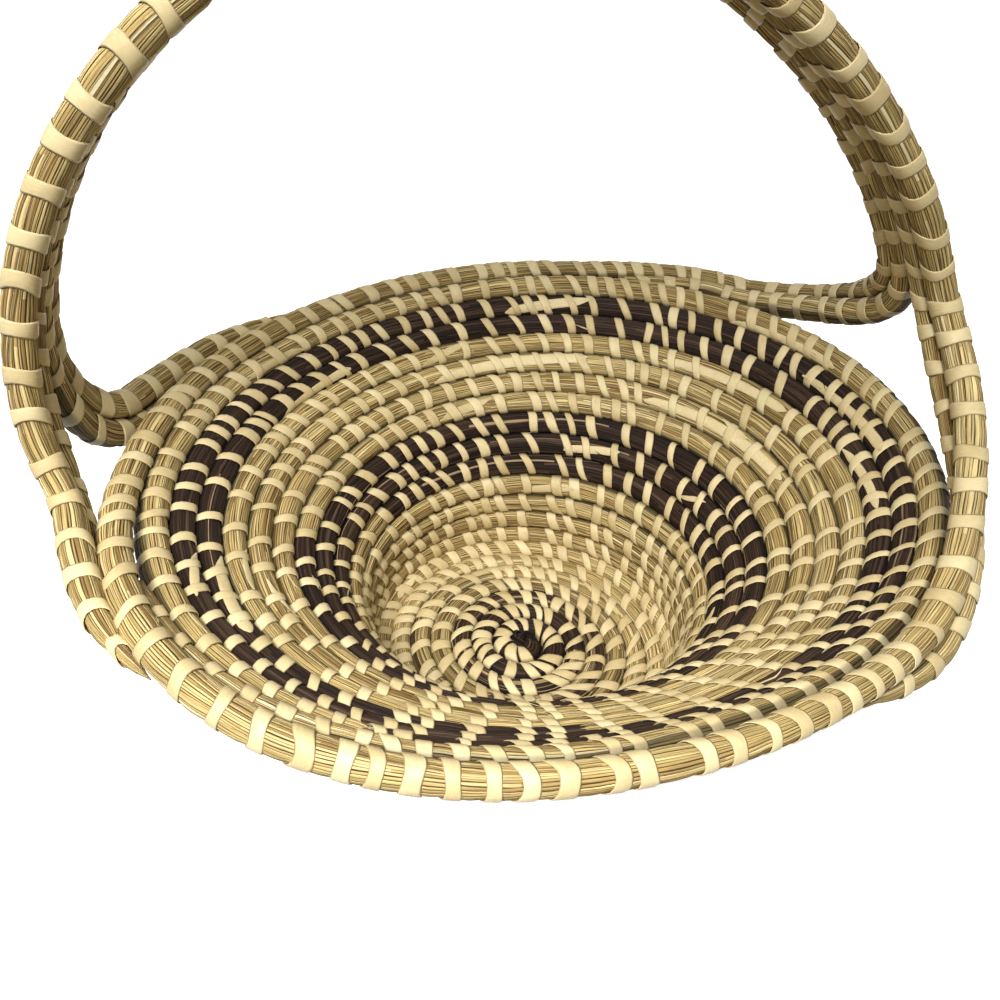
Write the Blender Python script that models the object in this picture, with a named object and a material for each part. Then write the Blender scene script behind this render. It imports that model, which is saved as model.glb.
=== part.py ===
"""Coiled sweetgrass basket: a flared bowl with an overhead handle four rows wide.

One coil winds outward from a knot, clockwise seen from above, and climbs the wall. Places along it
are counted in turns from the knot, so neighbouring rows are one turn apart. A rim coil closes the
bowl, and four handle rows sweep up from the rim in two pairs and run side by side over the top.
Units are metres, +Z is up. The origin is under the knot on the table, and the handle stands in the
XZ plane.
"""
import math
import bpy
import bmesh
from mathutils import Vector

MM = 0.001

# Rows and coils
WALL_PITCH = 7.5 * MM          # row to row on the wall and the rim
BASE_PITCH = 7.0 * MM          # row to row on the flat base
ROW_GAP = 0.65 * MM            # between a row and the next, which sets the coil's thickness
START_RADIUS = 3.4 * MM        # where the winding would start at turn nought
END_GAP = 0.3 * MM             # between two coils that meet end to end
SPLICE_GAP = 0.55 * MM         # between a coil that tapers in under the rim coil and the row inside it
SEAT_GAP = 0.2 * MM            # and between it and the rim coil, which rests on it
THIN_END = 1.2 * MM            # thickness of a tapered coil at its very end
KNOT_GAP = 0.3 * MM            # between the knot and the first row
POINTS_PER_TURN = 24
STATION_SLACK_SHARE = 1e-9     # a turn this near to a station counts as on it
STATION_MERGE_SHARE = 0.05     # and a stretch has no station this near to its ends
TUBE_SIDES_LEVEL = 1
WELD_DISTANCE = 0.01 * MM      # points of a tube's caps this near are one
KNOT_SEGMENTS = 16
KNOT_RINGS = 10
CUTTER_SHARE = 4               # how many times wider than the base's radius the table's cutter is
FLAT_SHARE = 0.1               # share of a coil's thickness that is worn flat under the base
BACK_ANGLE = math.radians(77.2)

# Slope of the wall's profile, as (turn, degrees above level)
WALL_SLOPES = ((0, 0), (6, 0), (8, 83), (10, 89), (12, 62), (15, 43), (18, 39.5), (21, 46.5), (23.5, 48))
BASE_COIL = BASE_PITCH - ROW_GAP
PROFILE_TURNS = 24             # turns for which the wall's profile is worked out
BASE_TURNS = 7                 # the pitch grows from here
WALL_TURNS = 14                # to here
MOUTH_FROM, MOUTH_TO = 8, 22   # turns over which the mouth goes oval and leans
OVAL_SHARE = 0.074             # how much longer and narrower the mouth is than a circle
OVAL_ANGLE = math.radians(21)
RIM_LEAN = 7.9 * MM            # how far the rim stands up on its high side
RIM_LEAN_ANGLE = math.radians(50)
FRONT_LEFT_SAG = 2 * MM        # how far the rim has settled there, outward and downward alike
FRONT_LEFT_ANGLE = math.radians(228)
FRONT_RIGHT_SAG = 3 * MM
FRONT_RIGHT_ANGLE = math.radians(315)
SAGS = ((FRONT_LEFT_ANGLE, FRONT_LEFT_SAG), (FRONT_RIGHT_ANGLE, FRONT_RIGHT_SAG))
SAG_POWER = 4                  # how narrow a sag is: the power of the cosine it follows

# Where each stretch of the coil starts and ends, in turns
CORE_TURNS = (0.75, 3.6)
BASE_COIL_TURNS = (3.6, 7.0)
LOWER_WALL_TURNS = (7.0, 11.83)
LOWER_BAND_TURNS = (11.83, 14.74)
MIDDLE_WALL_TURNS = (14.74, 18.5)
UPPER_BAND_TURNS = (18.5, 20.58)
UPPER_WALL_TURNS = (20.58, 21.66)
RIM_TURNS = (21.354, 22.106)
# How many rows the rim coil has moved out to make room for a coil that ends or starts under it
RIM_SPREAD_SHARES = ((21.3, 1), (21.58, 1), (21.72, 0), (22.02, 0), (22.08, 1), (22.2, 1))
# The outermost rows fold outward: their slope moves from the wall's own towards this one
FLARE_SLOPE = math.radians(-5)
OUTER_FLARE_SHARES = ((21.3, 0), (21.75, 0), (22.0, 0.47), (22.06, 0.65))
RIM_FLARE_SHARES = ((21.3, 0.5), (21.45, 0.5), (21.52, 0.35), (21.6, 0.05), (21.72, 0), (22.0, 0.5),
                    (22.06, 0.7))

# Handle
HANDLE_PITCH = 7.5 * MM        # row to row across the handle
FOOT_OVERHANG = 4.45 * MM      # how far the arch's feet stand outside the rim coil
FOOT_HEIGHT = 108.4 * MM       # height at which the arch is widest
ARCH_RISE = 116.2 * MM         # from there to the crown
ARCH_FULLNESS = 1.78           # exponent of the arch's curve, 2 is an ellipse
MIDDLE_SHIFT = -9.6 * MM       # how far the arch's middle at its feet lies from the rim's
CROWN_SHIFT = -13.5 * MM       # how far the crown leans past that
CROWN_TIP = math.radians(5)    # how far the handle tips at the crown, with its front rows up
RIGHT_JOIN_SHARE = 0.293       # share of the arch's rise at which the right sweeps have turned upright
LEFT_JOIN_SHARE = 0.188        # and the left ones
ARCH_STEP = 13 * MM            # distance between a handle row's points over the top
SWEEP_STEP = 8 * MM            # and in its sweeps
STRAIGHT_END = 2 * MM          # straight start of a handle row where it carries on from the rim coil
SWEEP_SAMPLES = 24
ARCH_SAMPLES = 90
JOIN_STEP = 0.01               # angle over which the arch's direction is taken where a sweep joins it
SQUARING = 4                   # how soon a pair of rows stands square to its own path

# How the pairs of rows sweep from the rim up to the arch: how far the curve's handles reach on from
# the rim, how much they are lifted there, and how far they hang down from the arch
RIGHT_BACK_REACH = 35 * MM
RIGHT_BACK_LIFT = 8 * MM
RIGHT_BACK_DROP = 22 * MM
RIGHT_FRONT_REACH = 38 * MM
RIGHT_FRONT_LIFT = 14 * MM
RIGHT_FRONT_DROP = 24 * MM
LEFT_REACH = 10 * MM
LEFT_LIFT = 0 * MM
LEFT_DROP = 27 * MM

# Rows that lie against the rim coil's outer side: (turn, rows outward, rows up, thickness share)
LEFT_BACK_UPPER_SHARES = ((21.859, 0.70, -0.18, 0.35), (21.834, 0.92, -0.10, 0.8), (21.806, 0.99, 0.17, 1),
                          (21.773, 1.03, 0.39, 1), (21.745, 1.15, 0.80, 1))
LEFT_BACK_LOWER_SHARES = ((21.80, 0.98, -0.70, 0.4), (21.78, 1.06, -0.62, 0.9), (21.745, 0.98, -0.18, 1))
LEFT_FRONT_UPPER_SHARES = ((21.635, 0.70, -0.18, 0.35), (21.645, 0.92, -0.10, 0.8), (21.66, 0.99, 0.25, 1),
                           (21.684, 1.15, 0.80, 1))
LEFT_FRONT_LOWER_SHARES = ((21.65, 0.98, -0.90, 0.4), (21.665, 1.06, -0.70, 0.9), (21.684, 0.98, -0.18, 1))
RIGHT_FRONT_LOWER_SHARES = ((21.372, 0.40, -0.75, 0.4), (21.363, 0.45, -0.88, 0.9), (21.354, 0.50, -0.92, 1))
RIGHT_BACK_LOWER_TURNS = (22.045, 22.106)

# Colours, roughness
SWEETGRASS = ("sweetgrass", (0.40, 0.29, 0.13), 0.75)
DARK_GRASS = ("dark_grass", (0.055, 0.028, 0.02), 0.7)


def between(table, at, column=1):
    """Value of a table's column at a place, straight between its rows and held at its ends."""
    rows = sorted(table)
    if at <= rows[0][0]:
        return rows[0][column]
    for low, high in zip(rows, rows[1:]):
        if at <= high[0]:
            share = (at - low[0]) / (high[0] - low[0])
            return low[column] + share * (high[column] - low[column])
    return rows[-1][column]


def limited(value, low, high):
    """The value, kept between two limits."""
    return max(low, min(high, value))


def wall_growth(turn):
    """Share of the way from the base's pitch and coil to the wall's."""
    return limited((turn - BASE_TURNS) / (WALL_TURNS - BASE_TURNS), 0, 1)


def pitch_at(turn):
    """Distance to the next row."""
    return BASE_PITCH + (WALL_PITCH - BASE_PITCH) * wall_growth(turn)


def walk_profile():
    """Radius and height of the coil's centre at each station of the round wall, from the knot out."""
    radius, height = START_RADIUS, BASE_COIL * (0.5 - FLAT_SHARE)
    profile = [(radius, height)]
    for station in range(POINTS_PER_TURN * PROFILE_TURNS):
        turn = (station + 0.5) / POINTS_PER_TURN
        slope = math.radians(between(WALL_SLOPES, turn))
        radius += pitch_at(turn) * math.cos(slope) / POINTS_PER_TURN
        height += pitch_at(turn) * math.sin(slope) / POINTS_PER_TURN
        profile.append((radius, height))
    return profile


PROFILE = walk_profile()


def angle_at(turn):
    """Direction from the axis at which a turn stands."""
    return BACK_ANGLE - math.tau * turn


def wall_point(row, angle):
    """Point of the wall on a row, which need not be whole, in a direction."""
    place = row * POINTS_PER_TURN
    station = int(place)
    share = place - station
    near, far = PROFILE[station], PROFILE[station + 1]
    radius = near[0] + share * (far[0] - near[0])
    height = near[1] + share * (far[1] - near[1])
    mouth = max((row - MOUTH_FROM) / (MOUTH_TO - MOUTH_FROM), 0)
    radius *= 1 + OVAL_SHARE * mouth * math.cos(2 * (angle - OVAL_ANGLE))
    height += RIM_LEAN * mouth * math.cos(angle - RIM_LEAN_ANGLE)
    sag = sum(depth * mouth * max(math.cos(angle - middle), 0) ** SAG_POWER for middle, depth in SAGS)
    radius += sag
    height -= sag
    return Vector((radius * math.cos(angle), radius * math.sin(angle), height))


def row_thickness(row, angle):
    """Thickness of a row of the wall, which fills the space that its neighbours leave."""
    here = wall_point(row, angle)
    inner = (here - wall_point(row - 1, angle)).length if row >= 1 else pitch_at(row)
    outer = (wall_point(row + 1, angle) - here).length
    return min(inner, outer) - ROW_GAP


def rim_spread(turn):
    """Rows by which the rim coil has moved out from the winding's own line."""
    return between(RIM_SPREAD_SHARES, turn)


def flared(inner, outer, angle, share):
    """The step from one row to the next, folded outward by a share of the way to the flare."""
    step = outer - inner
    flat = Vector((math.cos(angle), math.sin(angle), 0)) * math.cos(FLARE_SLOPE)
    flat.z = math.sin(FLARE_SLOPE)
    return step.normalized().lerp(flat, share).normalized() * step.length


def outer_point(turn):
    """Middle of the outermost whole row, which folds outward towards the handle."""
    angle = angle_at(turn)
    inner = wall_point(turn - 1, angle)
    return inner + flared(inner, wall_point(turn, angle), angle, between(OUTER_FLARE_SHARES, turn))


def rim_point(turn):
    """Middle of the rim coil."""
    angle = angle_at(turn)
    inner = wall_point(turn - 1, angle)
    step = flared(inner, wall_point(turn, angle), angle, between(RIM_FLARE_SHARES, turn))
    return outer_point(turn) + step * rim_spread(turn)


def rim_thickness(turn):
    """Thickness of the rim coil."""
    return row_thickness(turn, angle_at(turn))


def is_tapering(turn):
    """Whether a coil that ends or starts under the rim coil is thinner than a full row here."""
    return turn > RIM_TURNS[0] and rim_spread(turn) < 1


def tapering_room(turn):
    """Room between the rim coil and the row inside it for a coil that tapers in there."""
    angle = angle_at(turn)
    space = (rim_point(turn) - wall_point(turn - 1, angle)).length
    return space - (rim_thickness(turn) + row_thickness(turn - 1, angle)) / 2 - SPLICE_GAP - SEAT_GAP


def winding_point(turn):
    """Middle of the winding, where a tapering end keeps to the middle of the room left for it."""
    angle = angle_at(turn)
    if not is_tapering(turn):
        return outer_point(turn) if turn > RIM_TURNS[0] else wall_point(turn, angle)
    inner = wall_point(turn - 1, angle)
    depth = row_thickness(turn - 1, angle) / 2 + SPLICE_GAP + tapering_room(turn) / 2
    return inner + (rim_point(turn) - inner).normalized() * depth


def winding_thickness(turn):
    """Thickness of the winding, less where it tapers in under the rim coil."""
    full = row_thickness(turn, angle_at(turn))
    return limited(tapering_room(turn), THIN_END, full) if is_tapering(turn) else full


def on_stations(measure, turn):
    """A coil's point or thickness at any turn, straight between its two nearest stations."""
    place = turn * POINTS_PER_TURN
    station = math.floor(place + STATION_SLACK_SHARE)
    share = max(place - station, 0)
    near, far = (measure(index / POINTS_PER_TURN) for index in (station, station + 1))
    return near + (far - near) * share


def halfway(turn):
    """The turn moved to the middle between two stations, where the coil runs straight."""
    return (math.floor(turn * POINTS_PER_TURN) + 0.5) / POINTS_PER_TURN


def stations_between(start, end):
    """Turns of a stretch: its ends and every station between them, from start to end."""
    low, high = min(start, end), max(start, end)
    first = math.floor(low * POINTS_PER_TURN + STATION_MERGE_SHARE) + 1
    last = math.ceil(high * POINTS_PER_TURN - STATION_MERGE_SHARE)
    inner = [index / POINTS_PER_TURN for index in range(first, last)]
    turns = [low] + inner + [high]
    return turns if start < end else turns[::-1]


def trimmed(points, at_start, at_end):
    """The points of a coil, with its ends drawn back by the given lengths."""
    points = [Vector(point) for point in points]
    points[0] += (points[1] - points[0]).normalized() * at_start
    points[-1] += (points[-2] - points[-1]).normalized() * at_end
    return points


def bowl_coil(turns, open_end=False):
    """Points and radii of a stretch of the bowl's winding."""
    start, end = (halfway(turn) for turn in turns)
    stations = stations_between(start, turns[1] if open_end else end)
    points = [on_stations(winding_point, turn) for turn in stations]
    radii = [on_stations(winding_thickness, turn) / 2 for turn in stations]
    return trimmed(points, END_GAP / 2, 0 if open_end else END_GAP / 2), radii


def rim_coil():
    """Points and radii of the rim coil."""
    stations = stations_between(*RIM_TURNS)
    points = [on_stations(rim_point, turn) for turn in stations]
    radii = [on_stations(rim_thickness, turn) / 2 for turn in stations]
    return trimmed(points, END_GAP / 2, END_GAP / 2), radii


def beside_rim(table, turn):
    """Point of a row that lies against the rim coil's outer side."""
    angle = angle_at(turn)
    outward = Vector((math.cos(angle), math.sin(angle), 0))
    base = on_stations(rim_point, turn)
    return base + WALL_PITCH * (outward * between(table, turn, 1) + Vector((0, 0, between(table, turn, 2))))


def beside_rim_start(table):
    """Points and radii of such a row, from its thin start to where it leaves the rim."""
    marks = sorted({row[0] for row in table} | set(stations_between(table[0][0], table[-1][0])))
    if table[0][0] > table[-1][0]:
        marks.reverse()
    radii = [on_stations(rim_thickness, turn) / 2 * between(table, turn, 3) for turn in marks]
    return [beside_rim(table, turn) for turn in marks], radii


def wedge_start(turns):
    """Points and radii of a row that starts thin between the winding and the rim coil."""
    stations = stations_between(*turns)
    points = [on_stations(winding_point, turn) for turn in stations]
    return points, [on_stations(winding_thickness, turn) / 2 for turn in stations]


def rim_side(angle):
    """How far to the right the rim lies in a direction."""
    return wall_point(MOUTH_TO, angle).x


RIM_MIDDLE = (rim_side(0) + rim_side(math.pi)) / 2
HALF_SPAN = (rim_side(0) - rim_side(math.pi)) / 2 + FOOT_OVERHANG


def arch_point(angle):
    """Middle of the handle: nought is the right foot, half a turn the left."""
    across, up = math.cos(angle), math.sin(angle)
    power = 2 / ARCH_FULLNESS
    rise = max(up, 0) ** power
    reach = math.copysign(abs(across) ** power, across)
    middle = RIM_MIDDLE + MIDDLE_SHIFT + CROWN_SHIFT * rise
    return Vector((middle + HALF_SPAN * reach, 0, FOOT_HEIGHT + ARCH_RISE * rise))


def arch_heading(angle, step):
    """Direction of the arch from an angle to the one a step further."""
    return (arch_point(angle + step) - arch_point(angle)).normalized()


def arch_across(angle):
    """Direction across the handle, towards its back."""
    back = Vector((0, 1, 0))
    outward = back.cross(arch_heading(angle - JOIN_STEP, 2 * JOIN_STEP))
    rise = (arch_point(angle).z - FOOT_HEIGHT) / ARCH_RISE
    return back * math.cos(CROWN_TIP * rise) - outward * math.sin(CROWN_TIP * rise)


def arch_angle(share):
    """Angle at which the right half of the arch has risen by a share of its rise."""
    return math.asin(share ** (ARCH_FULLNESS / 2))


def bezier(ends, share):
    """Point of a cubic curve through four control points."""
    rest = 1 - share
    weights = (rest ** 3, 3 * rest ** 2 * share, 3 * rest * share ** 2, share ** 3)
    return sum((point * weight for point, weight in zip(ends, weights)), Vector())


def sweep(upper, lower, heading, corner, side, join_angle):
    """Middle line, across direction and row distance of a pair of rows from the rim to the arch.

    upper and lower are where the two rows leave the rim, heading is their direction there, and
    corner holds the curve's reach, lift and drop.
    """
    reach, lift, drop = corner
    across = arch_across(join_angle) * side
    join = arch_point(join_angle) + across * HANDLE_PITCH
    rising = arch_heading(join_angle, math.copysign(JOIN_STEP, math.pi / 2 - join_angle))
    start = (upper + lower) / 2
    ends = (start, start + heading * reach + Vector((0, 0, lift)), join - rising * drop, join)
    line = [bezier(ends, index / SWEEP_SAMPLES) for index in range(SWEEP_SAMPLES + 1)]
    first_across = (upper - lower).normalized()
    first_pitch = (upper - lower).length
    pairs = []
    for index, point in enumerate(line):
        share = index / SWEEP_SAMPLES
        ahead = line[min(index + 1, SWEEP_SAMPLES)] - line[max(index - 1, 0)]
        ahead.normalize()
        direction = first_across.lerp(across, share * share * (3 - 2 * share))
        squared = limited(SQUARING * share, 0, 1)
        direction = (direction - ahead * direction.dot(ahead) * squared).normalized()
        pairs.append((point, direction, first_pitch + (HANDLE_PITCH - first_pitch) * share))
    return pairs


def ribbon(right, left, side):
    """A pair of rows from rim to rim, as a list of middle points, across directions and distances."""
    right_angle = arch_angle(RIGHT_JOIN_SHARE)
    left_angle = math.pi - arch_angle(LEFT_JOIN_SHARE)
    arch = []
    for index in range(ARCH_SAMPLES + 1):
        angle = right_angle + (left_angle - right_angle) * index / ARCH_SAMPLES
        across = arch_across(angle) * side
        arch.append((arch_point(angle) + across * HANDLE_PITCH, across, HANDLE_PITCH))
    first = evenly(sweep(*right, side, right_angle), SWEEP_STEP)
    last = evenly(sweep(*left, side, left_angle), SWEEP_STEP)
    return first[:-1] + evenly(arch, ARCH_STEP) + last[-2::-1]


def evenly(pairs, step):
    """The pairs set evenly along their middle line, about a step apart."""
    lengths = [0.0]
    for near, far in zip(pairs, pairs[1:]):
        lengths.append(lengths[-1] + (far[0] - near[0]).length)
    count = round(lengths[-1] / step)
    result, index = [], 0
    for number in range(count + 1):
        at = lengths[-1] * number / count
        while index < len(pairs) - 2 and lengths[index + 1] < at:
            index += 1
        share = (at - lengths[index]) / (lengths[index + 1] - lengths[index])
        result.append([near + (far - near) * share for near, far in zip(pairs[index], pairs[index + 1])])
    return result


def handle_row(pairs, way, right_start, left_start):
    """Points and radii of one handle row: way is 1 for the upper row of its pair and -1 for the lower."""
    middles = [pair[0] for pair in pairs]
    points = [middle + across * (way * distance / 2) for middle, across, distance in pairs]
    radii = []
    for index, (_, across, distance) in enumerate(pairs):
        ahead = (middles[min(index + 1, len(pairs) - 1)] - middles[max(index - 1, 0)]).normalized()
        square = (across - ahead * across.dot(ahead)).length
        radii.append((distance * square - ROW_GAP) / 2)
    if isinstance(right_start, Vector):
        first = points[0]
        points = [first + right_start * END_GAP, first + right_start * STRAIGHT_END] + points[1:]
        radii = radii[:1] + radii
    else:
        points = right_start[0][:-1] + points
        radii = right_start[1][:-1] + radii
    return points + left_start[0][-2::-1], radii + left_start[1][-2::-1]


def heading_of(points):
    """Direction in which a row is going at its last point."""
    return (points[-1] - points[-2]).normalized()


def handle_rows():
    """Points and radii of the four handle rows, from the back to the front."""
    back_upper = rim_coil()[0][-2:]
    back_lower = wedge_start(RIGHT_BACK_LOWER_TURNS)
    front_upper = rim_coil()[0][1::-1]
    front_lower = beside_rim_start(RIGHT_FRONT_LOWER_SHARES)
    left_back_upper = beside_rim_start(LEFT_BACK_UPPER_SHARES)
    left_back_lower = beside_rim_start(LEFT_BACK_LOWER_SHARES)
    left_front_upper = beside_rim_start(LEFT_FRONT_UPPER_SHARES)
    left_front_lower = beside_rim_start(LEFT_FRONT_LOWER_SHARES)
    right_back = (back_upper[-1], back_lower[0][-1], heading_of(back_upper),
                  (RIGHT_BACK_REACH, RIGHT_BACK_LIFT, RIGHT_BACK_DROP))
    right_front = (front_upper[-1], front_lower[0][-1], heading_of(front_upper),
                   (RIGHT_FRONT_REACH, RIGHT_FRONT_LIFT, RIGHT_FRONT_DROP))
    left_back = (left_back_upper[0][-1], left_back_lower[0][-1], heading_of(left_back_upper[0]),
                 (LEFT_REACH, LEFT_LIFT, LEFT_DROP))
    left_front = (left_front_upper[0][-1], left_front_lower[0][-1], heading_of(left_front_upper[0]),
                  (LEFT_REACH, LEFT_LIFT, LEFT_DROP))
    back = ribbon(right_back, left_back, 1)
    front = ribbon(right_front, left_front, -1)
    return {
        "handle_row_back_outer": handle_row(back, 1, heading_of(back_upper), left_back_upper),
        "handle_row_back_inner": handle_row(back, -1, back_lower, left_back_lower),
        "handle_row_front_inner": handle_row(front, -1, front_lower, left_front_lower),
        "handle_row_front_outer": handle_row(front, 1, heading_of(front_upper), left_front_upper),
    }


def make_material(name, colour, roughness):
    """Plain material with a colour and a roughness."""
    material = bpy.data.materials.new(name)
    material.use_nodes = True
    shader = material.node_tree.nodes["Principled BSDF"]
    shader.inputs["Base Color"].default_value = (*colour, 1)
    shader.inputs["Roughness"].default_value = roughness
    shader.inputs["Metallic"].default_value = 0
    material.diffuse_color = (*colour, 1)
    return material


def make_tube(name, points, radii, material, collection):
    """Tube along points, with a radius at each."""
    curve = bpy.data.curves.new(name, "CURVE")
    curve.dimensions = "3D"
    curve.twist_mode = "Z_UP"
    curve.bevel_depth = 1
    curve.bevel_resolution = TUBE_SIDES_LEVEL
    curve.use_fill_caps = True
    spline = curve.splines.new("POLY")
    spline.points.add(len(points) - 1)
    for target, point, radius in zip(spline.points, points, radii):
        target.co = (*point, 1)
        target.radius = radius
    curve.materials.append(material)
    tube = bpy.data.objects.new(name, curve)
    collection.objects.link(tube)
    return tube


def as_mesh(tube, collection):
    """The tube as a mesh object of the same name, with its caps welded on."""
    name = tube.name
    evaluated = tube.evaluated_get(bpy.context.evaluated_depsgraph_get())
    mesh = bpy.data.meshes.new_from_object(evaluated)
    working = bmesh.new()
    working.from_mesh(mesh)
    bmesh.ops.remove_doubles(working, verts=working.verts, dist=WELD_DISTANCE)
    working.to_mesh(mesh)
    working.free()
    place = tube.matrix_world.copy()
    bpy.data.objects.remove(tube)
    solid = bpy.data.objects.new(name, mesh)
    solid.matrix_world = place
    mesh.name = name
    collection.objects.link(solid)
    return solid


def make_knot(material, collection):
    """Round knot at the centre, as high as the coil and a little domed."""
    first = wall_point(CORE_TURNS[0], angle_at(CORE_TURNS[0]))
    radius = math.hypot(first.x, first.y) - BASE_COIL / 2 - KNOT_GAP
    mesh = bpy.data.meshes.new("centre_knot")
    working = bmesh.new()
    bmesh.ops.create_uvsphere(working, u_segments=KNOT_SEGMENTS, v_segments=KNOT_RINGS, radius=1)
    bmesh.ops.scale(working, verts=working.verts, vec=(radius, radius, BASE_COIL / 2))
    bmesh.ops.translate(working, verts=working.verts, vec=(0, 0, BASE_COIL * (0.5 - FLAT_SHARE)))
    working.to_mesh(mesh)
    working.free()
    mesh.materials.append(material)
    knot = bpy.data.objects.new("centre_knot", mesh)
    collection.objects.link(knot)
    return knot


def make_table_cutter(collection):
    """Box under the table's level, which wears the coils of the base flat."""
    width = CUTTER_SHARE * BASE_TURNS * BASE_PITCH
    mesh = bpy.data.meshes.new("table_cutter")
    working = bmesh.new()
    bmesh.ops.create_cube(working, size=1)
    bmesh.ops.scale(working, verts=working.verts, vec=(width, width, BASE_COIL))
    bmesh.ops.translate(working, verts=working.verts, vec=(0, 0, -BASE_COIL / 2))
    working.to_mesh(mesh)
    working.free()
    cutter = bpy.data.objects.new("table_cutter", mesh)
    cutter.hide_render = True
    cutter.display_type = "WIRE"
    collection.objects.link(cutter)
    return cutter


def cut_flat(solid, cutter):
    """Cuts a solid flat where it stands on the table."""
    cut = solid.modifiers.new("stands_flat", "BOOLEAN")
    cut.operation = "DIFFERENCE"
    cut.solver = "EXACT"
    cut.object = cutter


def least_gap(points, radii, others, other_radii, skip=0):
    """Least gap between two coils, and where it is.

    Within one coil, skip points either side of each point are left out.
    """
    least, place = math.inf, None
    for index, (point, radius) in enumerate(zip(points, radii)):
        for number in range(len(others) - 1):
            if skip and abs(number - index) <= skip:
                continue
            near, along = others[number], others[number + 1] - others[number]
            share = limited((point - near).dot(along) / along.length_squared, 0, 1)
            reach = other_radii[number] + share * (other_radii[number + 1] - other_radii[number])
            gap = (point - near - along * share).length - radius - reach
            if gap < least:
                least, place = gap, point
    return least, place


def main():
    """Makes the basket and prints each coil's least gap to itself."""
    for leftover in list(bpy.data.objects):
        bpy.data.objects.remove(leftover)
    collection = bpy.data.collections.new("sweetgrass_basket")
    cutters = bpy.data.collections.new("cutters")
    for group in (collection, cutters):
        bpy.context.scene.collection.children.link(group)
    sweetgrass, dark_grass = make_material(*SWEETGRASS), make_material(*DARK_GRASS)
    coils = {
        "core_coil": (bowl_coil(CORE_TURNS), dark_grass),
        "base_coil": (bowl_coil(BASE_COIL_TURNS), sweetgrass),
        "lower_wall_coil": (bowl_coil(LOWER_WALL_TURNS), sweetgrass),
        "lower_dark_band": (bowl_coil(LOWER_BAND_TURNS), dark_grass),
        "middle_wall_coil": (bowl_coil(MIDDLE_WALL_TURNS), sweetgrass),
        "upper_dark_band": (bowl_coil(UPPER_BAND_TURNS), dark_grass),
        "upper_wall_coil": (bowl_coil(UPPER_WALL_TURNS, open_end=True), sweetgrass),
        "rim_coil": (rim_coil(), sweetgrass),
    }
    for name, row in handle_rows().items():
        coils[name] = (row, sweetgrass)
    cutter = make_table_cutter(cutters)
    tubes = {name: make_tube(name, *coil, material, collection) for name, (coil, material) in coils.items()}
    bpy.context.view_layer.update()
    for name in ("core_coil", "base_coil"):
        cut_flat(as_mesh(tubes[name], collection), cutter)
    cut_flat(make_knot(dark_grass, collection), cutter)
    for name, (coil, _) in coils.items():
        gap, _ = least_gap(*coil, *coil, POINTS_PER_TURN // 4)
        if gap < math.inf:
            print(f"{name}: least gap to itself {gap / MM:.2f} mm")
    return coils


if __name__ == "__main__":
    main()
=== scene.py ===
"""Looks of a coiled sweetgrass basket with a sewn overhead handle.

The bowl is one coil of grass that winds outward from a knot, sewn row to row with strips of palmetto.
Places along it are counted in turns from the knot. Every coil is a bundle of strands, pinched where a
strip goes round it, and Geometry Nodes make the bundles, the stitches and the loose ends from the
coils' middle lines. Units are metres, +Z is up, and the origin is under the knot on the table.
"""
import logging
import math
from dataclasses import dataclass, field, replace
from enum import Enum
from functools import partialmethod
from typing import Callable, Optional, Sequence

import bpy
import numpy as np
from mathutils import Matrix, Vector


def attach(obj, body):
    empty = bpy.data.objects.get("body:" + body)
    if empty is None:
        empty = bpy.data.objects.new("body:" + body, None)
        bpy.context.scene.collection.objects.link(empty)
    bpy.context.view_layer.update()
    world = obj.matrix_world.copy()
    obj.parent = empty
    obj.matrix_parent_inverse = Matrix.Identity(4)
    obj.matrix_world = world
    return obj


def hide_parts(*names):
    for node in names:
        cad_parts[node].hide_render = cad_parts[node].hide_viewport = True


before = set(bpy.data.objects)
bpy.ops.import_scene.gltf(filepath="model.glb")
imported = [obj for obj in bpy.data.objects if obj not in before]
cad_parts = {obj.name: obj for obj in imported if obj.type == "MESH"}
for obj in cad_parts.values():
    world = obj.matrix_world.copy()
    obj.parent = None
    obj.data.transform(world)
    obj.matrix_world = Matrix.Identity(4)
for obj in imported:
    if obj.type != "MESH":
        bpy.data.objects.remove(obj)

MM = 0.001
LOG = logging.getLogger("basket")
Table = Sequence[tuple[float, ...]]
Colour = tuple[float, float, float]
Start = list[tuple[Vector, float]]


def between(table: Table, at: float, column: int = 1) -> float:
    """Reads a table at a place, straight between its rows and held at its ends.

    Args:
        table: Rows that start with a place.
        at: The place to read.
        column: Which of a row's values to read.

    Returns:
        The value there.
    """
    rows = sorted(table)
    if at <= rows[0][0]:
        return rows[0][column]
    for low, high in zip(rows, rows[1:]):
        if at <= high[0]:
            share = (at - low[0]) / (high[0] - low[0])
            return low[column] + share * (high[column] - low[column])
    return rows[-1][column]


def read(values: np.ndarray, places: np.ndarray, at: np.ndarray) -> np.ndarray:
    """Reads numbers or vectors that belong to some places at others."""
    if values.ndim == 1:
        return np.interp(at, places, values)
    return np.stack([np.interp(at, places, column) for column in values.T], axis=1)


def limited(value: float, low: float, high: float) -> float:
    """Keeps a value between two limits."""
    return max(low, min(high, value))


def eased(share: float) -> float:
    """Turns a straight share from nought to one into one that starts and ends gently."""
    share = limited(share, 0, 1)
    return share * share * (3 - 2 * share)


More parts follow.
